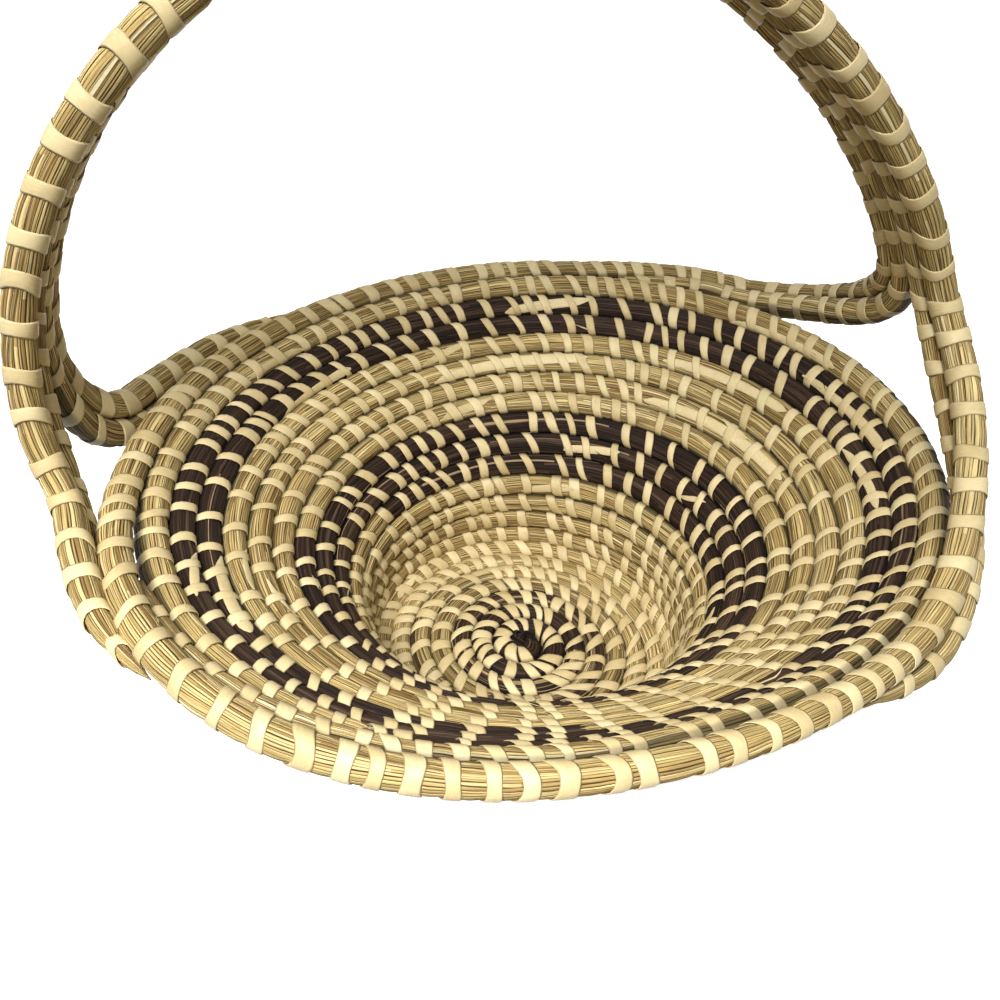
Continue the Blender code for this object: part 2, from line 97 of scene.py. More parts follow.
@dataclass
class Row:
    """Middle line of a coil or a stretch of one.

    Attributes:
        name: The row's name.
        points: Middle points, one line each.
        girths: Radius of the coil at each point.
        outward: Direction at each point towards the row that is sewn on next.
        phases: Count of stitches up to each point.
        leans: How far a stitch leans along the row there.
        crease_shades: How dark the shade painted into the creases on its inner and outer side is, from 0 to 1.
    """

    name: str
    points: np.ndarray
    girths: np.ndarray
    outward: np.ndarray
    phases: np.ndarray
    leans: np.ndarray
    # Painted shade: how strongly the creases beside the row are darkened in its colour.
    crease_shades: tuple[float, float] = (1.0, 1.0)

    @property
    def lengths(self) -> np.ndarray:
        """Distance along the row at each point."""
        steps = np.linalg.norm(np.diff(self.points, axis=0), axis=1)
        return np.concatenate([[0.0], np.cumsum(steps)])

    @property
    def headings(self) -> np.ndarray:
        """Direction in which the row runs at each point."""
        ahead = np.gradient(self.points, axis=0)
        return ahead / np.linalg.norm(ahead, axis=1)[:, None]

    @property
    def curving(self) -> np.ndarray:
        """Change of the row's direction for each metre of its length."""
        return np.gradient(self.headings, axis=0) / np.maximum(np.gradient(self.lengths), 0.01 * MM)[:, None]

    def crease_shade_values(self, count: int) -> dict[str, np.ndarray]:
        """How dark the shade painted into the creases on both sides is, for each of some points."""
        return {key: np.full(count, dark) for key, dark in zip(("crease_shade_in", "crease_shade_out"), self.crease_shades)}

    def smoothed(self, width: int) -> "Row":
        """Rounds the line's corners off over some points either side, its ends where they were."""
        weights = np.exp(-0.5 * (np.arange(-width, width + 1) / (0.5 * width)) ** 2)
        weights /= weights.sum()

        def averaged(values: np.ndarray) -> np.ndarray:
            first, last = values[:1], values[-1:]
            before = 2 * first - values[width:0:-1]
            after = 2 * last - values[-2:-width - 2:-1]
            padded = np.concatenate([before, values, after])
            return np.stack([np.convolve(column, weights, mode="valid") for column in padded.T], axis=1)

        girths = averaged(self.girths[:, None])[:, 0]
        return replace(self, points=averaged(self.points), girths=girths, outward=averaged(self.outward))

    def resampled(self, step: float) -> "Row":
        """Sets the points evenly along the row, about a step apart."""
        lengths = self.lengths
        at = np.linspace(0, lengths[-1], max(int(round(lengths[-1] / step)), 2) + 1)
        keys = ("points", "girths", "outward", "phases", "leans")
        return replace(self, **{key: read(getattr(self, key), lengths, at) for key in keys})

    def squared(self) -> "Row":
        """Turns the outward directions square to the row's own path."""
        ahead = self.headings
        outward = self.outward - ahead * (self.outward * ahead).sum(axis=1)[:, None]
        return replace(self, outward=outward / np.linalg.norm(outward, axis=1)[:, None])

    def beside(self, shift_share: float, thickness_share: float, drop: float) -> "Row":
        """Moves the row outward and down and makes it thinner, to pack the crease beside it.

        Args:
            shift_share: How far outward, as a share of the coil's radius.
            thickness_share: How thick it becomes, as a share of the coil.
            drop: How far down.

        Returns:
            The thinner row.
        """
        points = self.points + self.outward * (self.girths * shift_share)[:, None] - np.array((0, 0, drop))
        return replace(self, points=points, girths=self.girths * thickness_share)

    def thinned(self, first: float, last: float, tip_share: float) -> "Row":
        """Makes the row's ends thinner.

        Args:
            first: How long its thin start is.
            last: How long its thin end is.
            tip_share: How thick the tips are, as a share of the full thickness.

        Returns:
            The row with thin ends.
        """
        lengths = self.lengths
        from_start = np.clip(lengths / max(first, 0.01 * MM), 0, 1)
        from_end = np.clip((lengths[-1] - lengths) / max(last, 0.01 * MM), 0, 1)
        shares = tip_share + (1 - tip_share) * np.sin(np.minimum(from_start, from_end) * math.pi / 2)
        return replace(self, girths=self.girths * shares)


@dataclass(frozen=True)
class Winding:
    """The one coil that makes the bowl, from the knot to its end under the rim."""

    wall_pitch: float = 7.5 * MM
    base_pitch: float = 7.0 * MM
    start_radius: float = 3.4 * MM
    row_gap: float = 0.1 * MM
    stand_height: float = 2.54 * MM
    back_angle: float = math.radians(77.2)
    stations: int = 48
    wall_slopes: Table = ((0, 0), (6, 0), (8, 83), (10, 89), (12, 62), (15, 43), (18, 39.5), (21, 46.5), (23.5, 48))
    base_turns: float = 7
    wall_turns: float = 14
    mouth_from: float = 8
    mouth_to: float = 22
    oval_share: float = 0.074
    oval_angle: float = math.radians(21)
    rim_lean: float = 7.9 * MM
    rim_lean_angle: float = math.radians(50)
    sags: Table = ((math.radians(228), 2 * MM), (math.radians(315), 3 * MM))
    rim_turns: tuple[float, float] = (21.354, 22.106)
    rim_spread: Table = ((21.3, 1), (21.58, 1), (21.72, 0), (22.02, 0), (22.08, 1), (22.2, 1))
    flare_slope: float = math.radians(-5)
    outer_flare: Table = ((21.3, 0), (21.75, 0), (22.0, 0.47), (22.06, 0.65))
    rim_flare: Table = ((21.3, 0.5), (21.45, 0.5), (21.52, 0.35), (21.6, 0.05), (21.72, 0), (22.0, 0.5), (22.06, 0.7))
    thin_end: float = 1.2 * MM
    profile: list[tuple[float, float]] = field(default_factory=list)

    def __post_init__(self) -> None:
        """Walks the profile of the round wall once, from the knot outward."""
        radius, height = self.start_radius, self.stand_height
        self.profile.append((radius, height))
        for station in range(self.stations * 24):
            turn = (station + 0.5) / self.stations
            slope = math.radians(between(self.wall_slopes, turn))
            radius += self.pitch_at(turn) * math.cos(slope) / self.stations
            height += self.pitch_at(turn) * math.sin(slope) / self.stations
            self.profile.append((radius, height))

    def pitch_at(self, turn: float) -> float:
        """Distance from a row to the next."""
        growth = limited((turn - self.base_turns) / (self.wall_turns - self.base_turns), 0, 1)
        return self.base_pitch + (self.wall_pitch - self.base_pitch) * growth

    def angle_at(self, turn: float) -> float:
        """Direction from the axis at which a turn stands."""
        return self.back_angle - math.tau * turn

    def wall_point(self, row: float, angle: float) -> Vector:
        """Point of the wall on a row, which need not be whole, in a direction."""
        place = max(row, 0) * self.stations
        station = int(place)
        share = place - station
        near, far = self.profile[station], self.profile[station + 1]
        radius = near[0] + share * (far[0] - near[0])
        height = near[1] + share * (far[1] - near[1])
        mouth = max((row - self.mouth_from) / (self.mouth_to - self.mouth_from), 0)
        radius *= 1 + self.oval_share * mouth * math.cos(2 * (angle - self.oval_angle))
        height += self.rim_lean * mouth * math.cos(angle - self.rim_lean_angle)
        sag = sum(depth * mouth * max(math.cos(angle - middle), 0) ** 4 for middle, depth in self.sags)
        radius += sag
        return Vector((radius * math.cos(angle), radius * math.sin(angle), height - sag))

    def row_thickness(self, row: float, angle: float) -> float:
        """Thickness of a row of the wall, which fills the space that its neighbours leave."""
        here = self.wall_point(row, angle)
        inner = (here - self.wall_point(row - 1, angle)).length if row >= 1 else self.pitch_at(row)
        outer = (self.wall_point(row + 1, angle) - here).length
        return min(inner, outer) - self.row_gap

    def flared(self, inner: Vector, outer: Vector, angle: float, share: float) -> Vector:
        """The step from one row to the next, folded outward by a share of the way to the flare."""
        step = outer - inner
        flat = Vector((math.cos(angle), math.sin(angle), 0)) * math.cos(self.flare_slope)
        flat.z = math.sin(self.flare_slope)
        return step.normalized().lerp(flat, share).normalized() * step.length

    def outer_point(self, turn: float) -> Vector:
        """Middle of the outermost whole row, which folds outward towards the handle."""
        angle = self.angle_at(turn)
        inner = self.wall_point(turn - 1, angle)
        return inner + self.flared(inner, self.wall_point(turn, angle), angle, between(self.outer_flare, turn))

    def rim_point(self, turn: float) -> Vector:
        """Middle of the rim coil."""
        angle = self.angle_at(turn)
        inner = self.wall_point(turn - 1, angle)
        step = self.flared(inner, self.wall_point(turn, angle), angle, between(self.rim_flare, turn))
        return self.outer_point(turn) + step * between(self.rim_spread, turn)

    def rim_thickness(self, turn: float) -> float:
        """Thickness of the rim coil."""
        return self.row_thickness(turn, self.angle_at(turn))

    def is_tapering(self, turn: float) -> bool:
        """Whether the winding is thinner than a full row here, under the rim coil."""
        return turn > self.rim_turns[0] and between(self.rim_spread, turn) < 1

    def tapering_room(self, turn: float) -> float:
        """Room between the rim coil and the row inside it for a coil that tapers in there."""
        angle = self.angle_at(turn)
        space = (self.rim_point(turn) - self.wall_point(turn - 1, angle)).length
        return space - (self.rim_thickness(turn) + self.row_thickness(turn - 1, angle)) / 2 - self.row_gap

    def winding_point(self, turn: float) -> Vector:
        """Middle of the winding, where a tapering end keeps to the middle of the room left for it."""
        angle = self.angle_at(turn)
        if not self.is_tapering(turn):
            return self.outer_point(turn) if turn > self.rim_turns[0] else self.wall_point(turn, angle)
        inner = self.wall_point(turn - 1, angle)
        depth = self.row_thickness(turn - 1, angle) / 2 + self.tapering_room(turn) / 2
        return inner + (self.rim_point(turn) - inner).normalized() * depth

    def winding_thickness(self, turn: float) -> float:
        """Thickness of the winding, less where it tapers in under the rim coil."""
        full = self.row_thickness(turn, self.angle_at(turn))
        return limited(self.tapering_room(turn), self.thin_end, full) if self.is_tapering(turn) else full

    def outward_at(self, turn: float) -> Vector:
        """Direction from the winding's own row to the next."""
        angle = self.angle_at(turn)
        return (self.wall_point(turn + 0.5, angle) - self.wall_point(turn - 0.5, angle)).normalized()

    def rim_outward(self, turn: float) -> Vector:
        """Direction from the row inside the rim coil to the rim coil."""
        return (self.rim_point(turn) - self.wall_point(turn - 1, self.angle_at(turn))).normalized()


@dataclass
class Sewing:
    """Where the stitches stand along the winding, most of them next to one in the row before.

    Attributes:
        winding: The bowl's winding.
        spacings: Wanted distance from stitch to stitch, by turn.
        first_turn: Where the sewing starts.
        last_turn: Where it ends.
        room_share: A space this many times wider than wanted gets one more stitch.
        stray_share: How far a stitch strays, as a share of the wanted distance.
        lean: How far a stitch's outer end lags behind its inner end.
        base_lean: How much further it lags on the right of the base.
        base_lean_angle: Direction in which it lags furthest.
        seed: Seed of the straying.
        turns: Every stitch's turn.
    """

    winding: Winding
    spacings: Table = ((0.3, 4.9 * MM), (1, 5.9 * MM), (2, 6.7 * MM), (3, 7.3 * MM), (5, 7.9 * MM), (7, 8.8 * MM),
                       (10, 10.0 * MM), (14, 10.8 * MM), (17, 11.8 * MM), (19.2, 12 * MM), (19.6, 10.0 * MM),
                       (22.2, 9.6 * MM))
    first_turn: float = 0.34
    last_turn: float = 22.4
    room_share: float = 1.4
    stray_share: float = 0.07
    lean: float = -3.4 * MM
    base_lean: float = -3.0 * MM
    base_lean_angle: float = math.radians(-20)
    seed: int = 5
    turns: list[float] = field(default_factory=list)

    def __post_init__(self) -> None:
        """Lays the stitches out, one after the other."""
        random = np.random.default_rng(self.seed)
        self.turns.append(self.first_turn)
        earlier = 0
        while self.turns[-1] < self.last_turn:
            here = self.turns[-1]
            wanted = between(self.spacings, here) / (math.tau * self.winding.wall_point(here, 0).x)
            while self.turns[earlier] + 1 < here + 0.45 * wanted:
                earlier += 1
            space = self.turns[earlier] + 1 - here
            if space > 2 * wanted:
                self.turns.append(here + wanted * random.uniform(0.85, 1.15))
            elif space > self.room_share * wanted:
                self.turns.append(here + space * random.uniform(0.46, 0.54))
            else:
                self.turns.append(here + space + wanted * random.normal(0, self.stray_share))

    def phases(self, places: Sequence[float]) -> np.ndarray:
        """Count of stitches up to each turn."""
        return np.interp(places, self.turns, np.arange(len(self.turns)))

    def lean_at(self, turn: float) -> float:
        """How far a stitch leans along the row at a turn."""
        facing = max(math.cos(self.winding.angle_at(turn) - self.base_lean_angle), 0) ** 2
        return self.lean + self.base_lean * facing * limited((9 - turn) / 4, 0, 1)


def traced(name: str, sewing: Sewing, places: Sequence[float], measures: Sequence[Callable], leans: np.ndarray) -> Row:
    """Follows places along the bowl.

    Args:
        name: The row's name.
        sewing: How the winding is sewn.
        places: The turns that it goes through.
        measures: What tells the middle, the thickness and the outward direction at a turn.
        leans: How far a stitch leans along the row at each turn.

    Returns:
        The row's middle line.
    """
    points, thicknesses, outward = (np.array([measure(turn) for turn in places]) for measure in measures)
    return Row(name, points, thicknesses / 2, outward, sewing.phases(places), leans).smoothed(6).squared()


def winding_row(name: str, sewing: Sewing, turns: tuple[float, float], step: float) -> Row:
    """Follows the winding from one turn to another, with points about a step apart."""
    winding = sewing.winding
    places = [turns[0]]
    while places[-1] < turns[1]:
        radius = winding.wall_point(places[-1], 0).x
        places.append(places[-1] + step / (math.tau * max(radius, 2 * MM)))
    places[-1] = turns[1]
    measures = winding.winding_point, winding.winding_thickness, winding.outward_at
    return traced(name, sewing, places, measures, np.array([sewing.lean_at(turn) for turn in places]))


def rim_row(sewing: Sewing, step: float) -> Row:
    """Follows the rim coil, with points about a step apart."""
    winding = sewing.winding
    start, end = winding.rim_turns
    count = int((end - start) * math.tau * winding.wall_point(winding.mouth_to, 0).x / step)
    measures = winding.rim_point, winding.rim_thickness, winding.rim_outward
    return traced("rim_coil", sewing, np.linspace(start, end, count), measures, np.full(count, sewing.lean))


@dataclass(frozen=True)
class Corner:
    """How a pair of rows sweeps from the rim up to the arch."""

    reach: float
    lift: float
    drop: float


@dataclass(frozen=True)
class Handle:
    """The four handle rows: two pairs that leave the rim and run together over the top."""

    winding: Winding
    pitch: float = 7.5 * MM
    row_gap: float = 0.1 * MM
    foot_overhang: float = 4.45 * MM
    foot_height: float = 108.4 * MM
    arch_rise: float = 116.2 * MM
    fullness: float = 1.78
    middle_shift: float = -9.6 * MM
    crown_shift: float = -13.5 * MM
    crown_tip: float = math.radians(5)
    turn_step: float = 0.01
    right_join: float = 0.293
    left_join: float = 0.188
    right_back: Corner = Corner(35 * MM, 8 * MM, 22 * MM)
    right_front: Corner = Corner(38 * MM, 14 * MM, 24 * MM)
    left: Corner = Corner(10 * MM, 0 * MM, 27 * MM)
    left_back_upper: Table = ((21.859, 0.62, -0.16, 0.12), (21.834, 0.92, -0.10, 0.8), (21.806, 0.99, 0.17, 1),
                              (21.773, 1.03, 0.39, 1), (21.745, 1.15, 0.80, 1))
    left_back_lower: Table = ((21.81, 0.46, -0.62, 0.12), (21.795, 0.76, -0.66, 0.55), (21.775, 1.04, -0.6, 0.9),
                              (21.745, 0.98, -0.18, 1))
    left_front_upper: Table = ((21.618, 0.54, -0.24, 0.12), (21.632, 0.74, -0.2, 0.5), (21.648, 0.93, -0.06, 0.87),
                               (21.662, 0.99, 0.27, 1), (21.684, 1.15, 0.80, 1))
    left_front_lower: Table = ((21.63, 0.44, -0.62, 0.12), (21.645, 0.70, -0.72, 0.5), (21.663, 1.02, -0.68, 0.88),
                               (21.684, 0.98, -0.18, 1))
    right_front_lower: Table = ((21.396, 0.22, -0.52, 0.12), (21.382, 0.34, -0.72, 0.5), (21.368, 0.44, -0.88, 0.86),
                                (21.354, 0.50, -0.92, 1))
    right_back_lower: tuple[float, float] = (22.045, 22.106)
    rim_overlap: float = 0.004
    samples: int = 60
    start_samples: int = 24
    arch_samples: int = 120
    stitch_spacing: float = 11.2 * MM
    lean: float = -2.6 * MM

    def rim_side(self, angle: float) -> float:
        """How far to the right the rim lies in a direction."""
        return self.winding.wall_point(self.winding.mouth_to, angle).x

    def arch_point(self, angle: float) -> Vector:
        """Middle of the handle: nought is the right foot, half a turn the left."""
        right, left = self.rim_side(0), self.rim_side(math.pi)
        across, up = math.cos(angle), math.sin(angle)
        power = 2 / self.fullness
        rise = max(up, 0) ** power
        reach = math.copysign(abs(across) ** power, across)
        middle = (right + left) / 2 + self.middle_shift + self.crown_shift * rise
        half_span = (right - left) / 2 + self.foot_overhang
        return Vector((middle + half_span * reach, 0, self.foot_height + self.arch_rise * rise))

    def arch_heading(self, angle: float, step: float) -> Vector:
        """Direction of the arch from an angle to the one a step further."""
        return (self.arch_point(angle + step) - self.arch_point(angle)).normalized()

    def arch_across(self, angle: float) -> Vector:
        """Direction across the handle towards its back, which tips down a little at the crown."""
        back = Vector((0, 1, 0))
        outward = back.cross(self.arch_heading(angle - self.turn_step, 2 * self.turn_step))
        tip = self.crown_tip * (self.arch_point(angle).z - self.foot_height) / self.arch_rise
        return back * math.cos(tip) - outward * math.sin(tip)

    def arch_angle(self, share: float) -> float:
        """Angle at which the right half of the arch has risen by a share of its rise."""
        return math.asin(share ** (self.fullness / 2))

    def beside_rim(self, table: Table) -> Start:
        """Middle points and radii of a row that starts against the rim coil's outer side."""
        result = []
        for turn in np.linspace(table[0][0], table[-1][0], self.start_samples):
            angle = self.winding.angle_at(turn)
            outward = Vector((math.cos(angle), math.sin(angle), 0))
            step = outward * between(table, turn, 1) + Vector((0, 0, between(table, turn, 2)))
            point = self.winding.rim_point(turn) + self.winding.wall_pitch * step
            result.append((point, self.winding.rim_thickness(turn) / 2 * between(table, turn, 3)))
        return result

    def under_rim(self, turns: tuple[float, float]) -> Start:
        """Middle points and radii of a row that starts thin between the winding and the rim coil."""
        winding, places = self.winding, np.linspace(*turns, self.start_samples)
        return [(winding.winding_point(turn), winding.winding_thickness(turn) / 2) for turn in places]

    def on_rim(self, turns: tuple[float, float]) -> Start:
        """Middle points and radii of a row that carries on from the rim coil."""
        return [(self.winding.rim_point(turn), self.winding.rim_thickness(turn) / 2) for turn in turns]

    def sweep(self, upper: Vector, lower: Vector, heading: Vector, corner: Corner, side: int, join: float) -> list:
        """Runs a pair of rows from the rim to the arch.

        Args:
            upper: Where the upper row leaves the rim.
            lower: Where the lower row leaves it.
            heading: Direction in which they set off.
            corner: The curve's reach, lift and drop.
            side: 1 for the back pair, -1 for the front pair.
            join: Angle at which they join the arch.

        Returns:
            Middle point, across direction and row distance for each step.
        """
        across = self.arch_across(join) * side
        end = self.arch_point(join) + across * self.pitch
        rising = self.arch_heading(join, math.copysign(self.turn_step, math.pi / 2 - join))
        start = (upper + lower) / 2
        first = start + heading * corner.reach + Vector((0, 0, corner.lift))
        second = end - rising * corner.drop
        line = []
        for index in range(self.samples + 1):
            share = index / self.samples
            rest = 1 - share
            line.append(start * rest ** 3 + first * (3 * rest ** 2 * share) + second * (3 * rest * share ** 2)
                        + end * share ** 3)
        first_across, first_pitch = (upper - lower).normalized(), (upper - lower).length
        pairs = []
        for index, point in enumerate(line):
            share = index / self.samples
            ahead = (line[min(index + 1, self.samples)] - line[max(index - 1, 0)]).normalized()
            direction = first_across.lerp(across, eased(share))
            direction = (direction - ahead * direction.dot(ahead) * limited(4 * share, 0, 1)).normalized()
            pairs.append((point, direction, first_pitch + (self.pitch - first_pitch) * share))
        return pairs

    def row(self, name: str, way: int, pairs: list, first: Start, last: Start) -> Row:
        """Makes one handle row from its pair's middle line.

        Args:
            name: The row's name.
            way: 1 for the upper row of the pair, -1 for the lower.
            pairs: Middle points, across directions and row distances.
            first: Points and radii of its start on the right.
            last: Points and radii of its start on the left.

        Returns:
            The row, from right to left.
        """
        middle = [(point + across * (way * distance / 2), (distance - self.row_gap) / 2)
                  for point, across, distance in pairs]
        everything = first[:-1] + middle + last[-2::-1]
        across = [pairs[0][1]] * len(first[:-1]) + [pair[1] for pair in pairs] + [pairs[-1][1]] * len(last[:-1])
        points, radii = (np.array(values) for values in zip(*everything))
        row = Row(name, points, radii, np.array([Vector(direction) * way for direction in across]),
                  np.zeros(len(points)), np.full(len(points), self.lean * way))
        row = row.resampled(1.2 * MM).smoothed(9).squared()
        row.phases = row.lengths / self.stitch_spacing + (0.5 if way < 0 else 0)
        return row

    def rows(self) -> list[Row]:
        """All four rows, from the back to the front."""
        start, end = self.winding.rim_turns
        back = self.on_rim((end - self.rim_overlap, end)), self.under_rim(self.right_back_lower)
        front = self.on_rim((start + self.rim_overlap, start)), self.beside_rim(self.right_front_lower)
        right_join = self.arch_angle(self.right_join)
        left_join = math.pi - self.arch_angle(self.left_join)
        result = []
        for name, side, (upper, lower), corner, left_tables in (
            ("back", 1, back, self.right_back, (self.left_back_upper, self.left_back_lower)),
            ("front", -1, front, self.right_front, (self.left_front_upper, self.left_front_lower)),
        ):
            left_upper, left_lower = (self.beside_rim(table) for table in left_tables)
            heading = (upper[-1][0] - upper[-2][0]).normalized()
            right = self.sweep(upper[-1][0], lower[-1][0], heading, corner, side, right_join)
            heading = (left_upper[-1][0] - left_upper[-2][0]).normalized()
            left = self.sweep(left_upper[-1][0], left_lower[-1][0], heading, self.left, side, left_join)
            arch = [(self.arch_point(angle) + self.arch_across(angle) * side * self.pitch,
                     self.arch_across(angle) * side, self.pitch)
                    for angle in np.linspace(right_join, left_join, self.arch_samples)]
            pairs = right[:-1] + arch + left[-2::-1]
            result.append(self.row(f"handle_row_{name}_outer", 1, pairs, upper, left_upper))
            result.append(self.row(f"handle_row_{name}_inner", -1, pairs, lower, left_lower))
        return result


@dataclass(frozen=True)
class Value:
    """A node's result to reckon with, so that a tree reads as formulas.

    Attributes:
        nodes: The helper of its tree.
        socket: The result's socket.
    """

    nodes: "Nodes"
    socket: bpy.types.NodeSocket

    @property
    def is_vector(self) -> bool:
        """Whether the result is a vector or a colour."""
        return self.socket.type in ("VECTOR", "RGBA")

    def apply(self, operation: str, *others: object) -> "Value":
        """Adds a Math node, or a Vector Math node for a vector."""
        kind = "ShaderNodeVectorMath" if self.is_vector else "ShaderNodeMath"
        return self.nodes.value(kind, dict(enumerate((self, *others))), operation=operation)

    def after(self, operation: str, number: float) -> "Value":
        """Adds a Math node whose first number isn't this result."""
        return self.nodes.value("ShaderNodeMath", {0: number, 1: self}, operation=operation)

    def __mul__(self, other: object) -> "Value":
        """Multiplies two numbers, or scales a vector by a number."""
        if self.is_vector:
            return self.nodes.value("ShaderNodeVectorMath", {0: self, "Scale": other}, operation="SCALE")
        return self.apply("MULTIPLY", other)

    __add__ = partialmethod(apply, "ADD")
    __sub__ = partialmethod(apply, "SUBTRACT")
    __truediv__ = partialmethod(apply, "DIVIDE")
    __pow__ = partialmethod(apply, "POWER")
    __abs__ = partialmethod(apply, "ABSOLUTE")
    __rsub__ = partialmethod(after, "SUBTRACT")
    __rtruediv__ = partialmethod(after, "DIVIDE")


@dataclass(frozen=True)
class Nodes:
    """Adds nodes to a tree and joins them, so that a tree reads as a list of steps."""

    tree: bpy.types.NodeTree

    def fill(self, node: bpy.types.Node, inputs: dict) -> None:
        """Sets or links a node's inputs, named by identifier, name or place."""
        for key, value in inputs.items():
            socket = node.inputs[key] if isinstance(key, int) else next(
                item for item in node.inputs if key in (item.identifier, item.name))
            if isinstance(value, Value):
                self.tree.links.new(value.socket, socket)
            else:
                socket.default_value = value

    def add(self, kind: str, inputs: Optional[dict] = None, **settings: object) -> bpy.types.Node:
        """Adds a node with its inputs and its own settings."""
        node = self.tree.nodes.new(kind)
        for name, value in settings.items():
            setattr(node, name, value)
        self.fill(node, inputs or {})
        return node

    def value(self, kind: str, inputs: Optional[dict] = None, output: object = 0, **settings: object) -> Value:
        """Adds a node and returns one of its results."""
        return Value(self, self.add(kind, inputs, **settings).outputs[output])

    def combined(self, *values: object) -> Value:
        """Puts three numbers together to a vector."""
        return self.value("ShaderNodeCombineXYZ", dict(enumerate(values)))

    def noise(self, place: Value, detail: float, scale: float = 1.0, roughness: float = 0.5) -> Value:
        """Soft noise at a place."""
        inputs = {"Vector": place, "Scale": scale, "Detail": detail, "Roughness": roughness}
        return self.value("ShaderNodeTexNoise", inputs)

    def chance(self, number: Value) -> Value:
        """Chance value that belongs to a number."""
        return self.value("ShaderNodeTexWhiteNoise", {"W": number}, noise_dimensions="1D")

    def mapped(self, value: Value, start: float, end: float, low: float = 0.0, high: float = 1.0,
               kind: str = "LINEAR") -> Value:
        """Takes the stretch from start to end to the one from low to high, held at its ends."""
        return self.value("ShaderNodeMapRange", {0: value, 1: start, 2: end, 3: low, 4: high}, interpolation_type=kind)

    def mixed(self, share: Value, first: object, second: object) -> Value:
        """Mixes two colours."""
        inputs = {"Factor_Float": share, "A_Color": first, "B_Color": second}
        return self.value("ShaderNodeMix", inputs, 2, data_type="RGBA")

    def attribute(self, name: str, kind: str = "FLOAT") -> Value:
        """Reads a named attribute in Geometry Nodes."""
        return self.value("GeometryNodeInputNamedAttribute", {"Name": name}, data_type=kind)

    def arrow(self, name: str) -> Value:
        """Reads a named vector in Geometry Nodes."""
        return self.attribute(name, "FLOAT_VECTOR")

    def shading(self, name: str, output: str = "Fac") -> Value:
        """Reads a named attribute in a material."""
        return self.value("ShaderNodeAttribute", output=output, attribute_name=name)

    def stored(self, geometry: Value, name: str, value: Value) -> Value:
        """Stores a named attribute and returns the geometry that has it."""
        return self.value("GeometryNodeStoreNamedAttribute", {"Geometry": geometry, "Name": name, "Value": value},
                          data_type="FLOAT_VECTOR" if value.is_vector else "FLOAT")

    def placed(self, geometry: Value) -> Value:
        """Stores where a geometry's points are, as their row's middle."""
        return self.stored(geometry, "middle", self.value("GeometryNodeInputPosition"))

    def ring(self, sides: Value, radius: float) -> Value:
        """Makes a ring of points."""
        return self.value("GeometryNodeCurvePrimitiveCircle", {"Resolution": sides, "Radius": radius})

    def tube(self, points: Value, profile: Value) -> Value:
        """Sweeps a profile along joined points, which keep their places as the row's middle."""
        line = self.value("GeometryNodeMeshToCurve", {0: self.placed(points)})
        return self.value("GeometryNodeCurveToMesh", {"Curve": line, "Profile Curve": profile, "Fill Caps": True})

    def section(self, angle: Value, radius: Value, get: dict[str, Value]) -> Value:
        """Point of a row's rounded square section, which is pressed against its neighbours.

        Args:
            angle: Angle from the outward direction.
            radius: Half the row's thickness.
            get: The tree's inputs, with its press and its power.

        Returns:
            The point.
        """
        outward = self.arrow("outward")
        face = self.arrow("heading").apply("CROSS_PRODUCT", outward)
        place = None
        for direction, way, length in ((outward, "COSINE", radius + get["Press"]), (face, "SINE", radius)):
            value = angle.apply(way)
            step = direction * (value.apply("SIGN") * abs(value) ** get["Power"] * length)
            place = place + step if place else step
        return place

    def crease_shade(self, cosine: Value) -> Value:
        """Strength of the shade painted at a place on the section, from 0 to 1, which grows towards a crease."""
        # Painted shade: nearness to the outer or inner crease, times the row's crease shade strength.
        outer = cosine * self.attribute("crease_shade_out")
        return outer.apply("MAXIMUM", cosine * -1.0 * self.attribute("crease_shade_in"))

    def moved(self, geometry: Value, place: Value, level: Value) -> Value:
        """Moves a geometry's points to their places, which are kept from sinking below a level."""
        place = place.apply("MAXIMUM", self.combined(-10.0, -10.0, level))
        return self.value("GeometryNodeSetPosition", {"Geometry": geometry, "Position": place})


def new_tree(name: str, inputs: dict[str, float]) -> tuple[Nodes, dict[str, Value]]:
    """Starts a Geometry Nodes tree.

    Args:
        name: The tree's name.
        inputs: Starting value of each of its numbers, by name.

    Returns:
        The tree's helper and its inputs, with the geometry and the material.
    """
    tree = bpy.data.node_groups.new(name, "GeometryNodeTree")
    tree.interface.new_socket("Geometry", in_out="INPUT", socket_type="NodeSocketGeometry")
    for label, value in inputs.items():
        kind = "NodeSocketInt" if isinstance(value, int) else "NodeSocketFloat"
        tree.interface.new_socket(label, in_out="INPUT", socket_type=kind).default_value = value
    tree.interface.new_socket("Material", in_out="INPUT", socket_type="NodeSocketMaterial")
    tree.interface.new_socket("Geometry", in_out="OUTPUT", socket_type="NodeSocketGeometry")
    nodes = Nodes(tree)
    return nodes, {socket.name: Value(nodes, socket) for socket in nodes.add("NodeGroupInput").outputs if socket.name}


def end_tree(geometry: Value, material: Value) -> bpy.types.NodeTree:
    """Ends a tree: instances made real, smooth shading, the material and the output."""
    nodes = geometry.nodes
    real = nodes.value("GeometryNodeRealizeInstances", {0: geometry})
    smooth = nodes.value("GeometryNodeSetShadeSmooth", {"Geometry": real})
    dressed = nodes.value("GeometryNodeSetMaterial", {"Geometry": smooth, "Material": material})
    nodes.add("NodeGroupOutput", {0: dressed})
    return nodes.tree


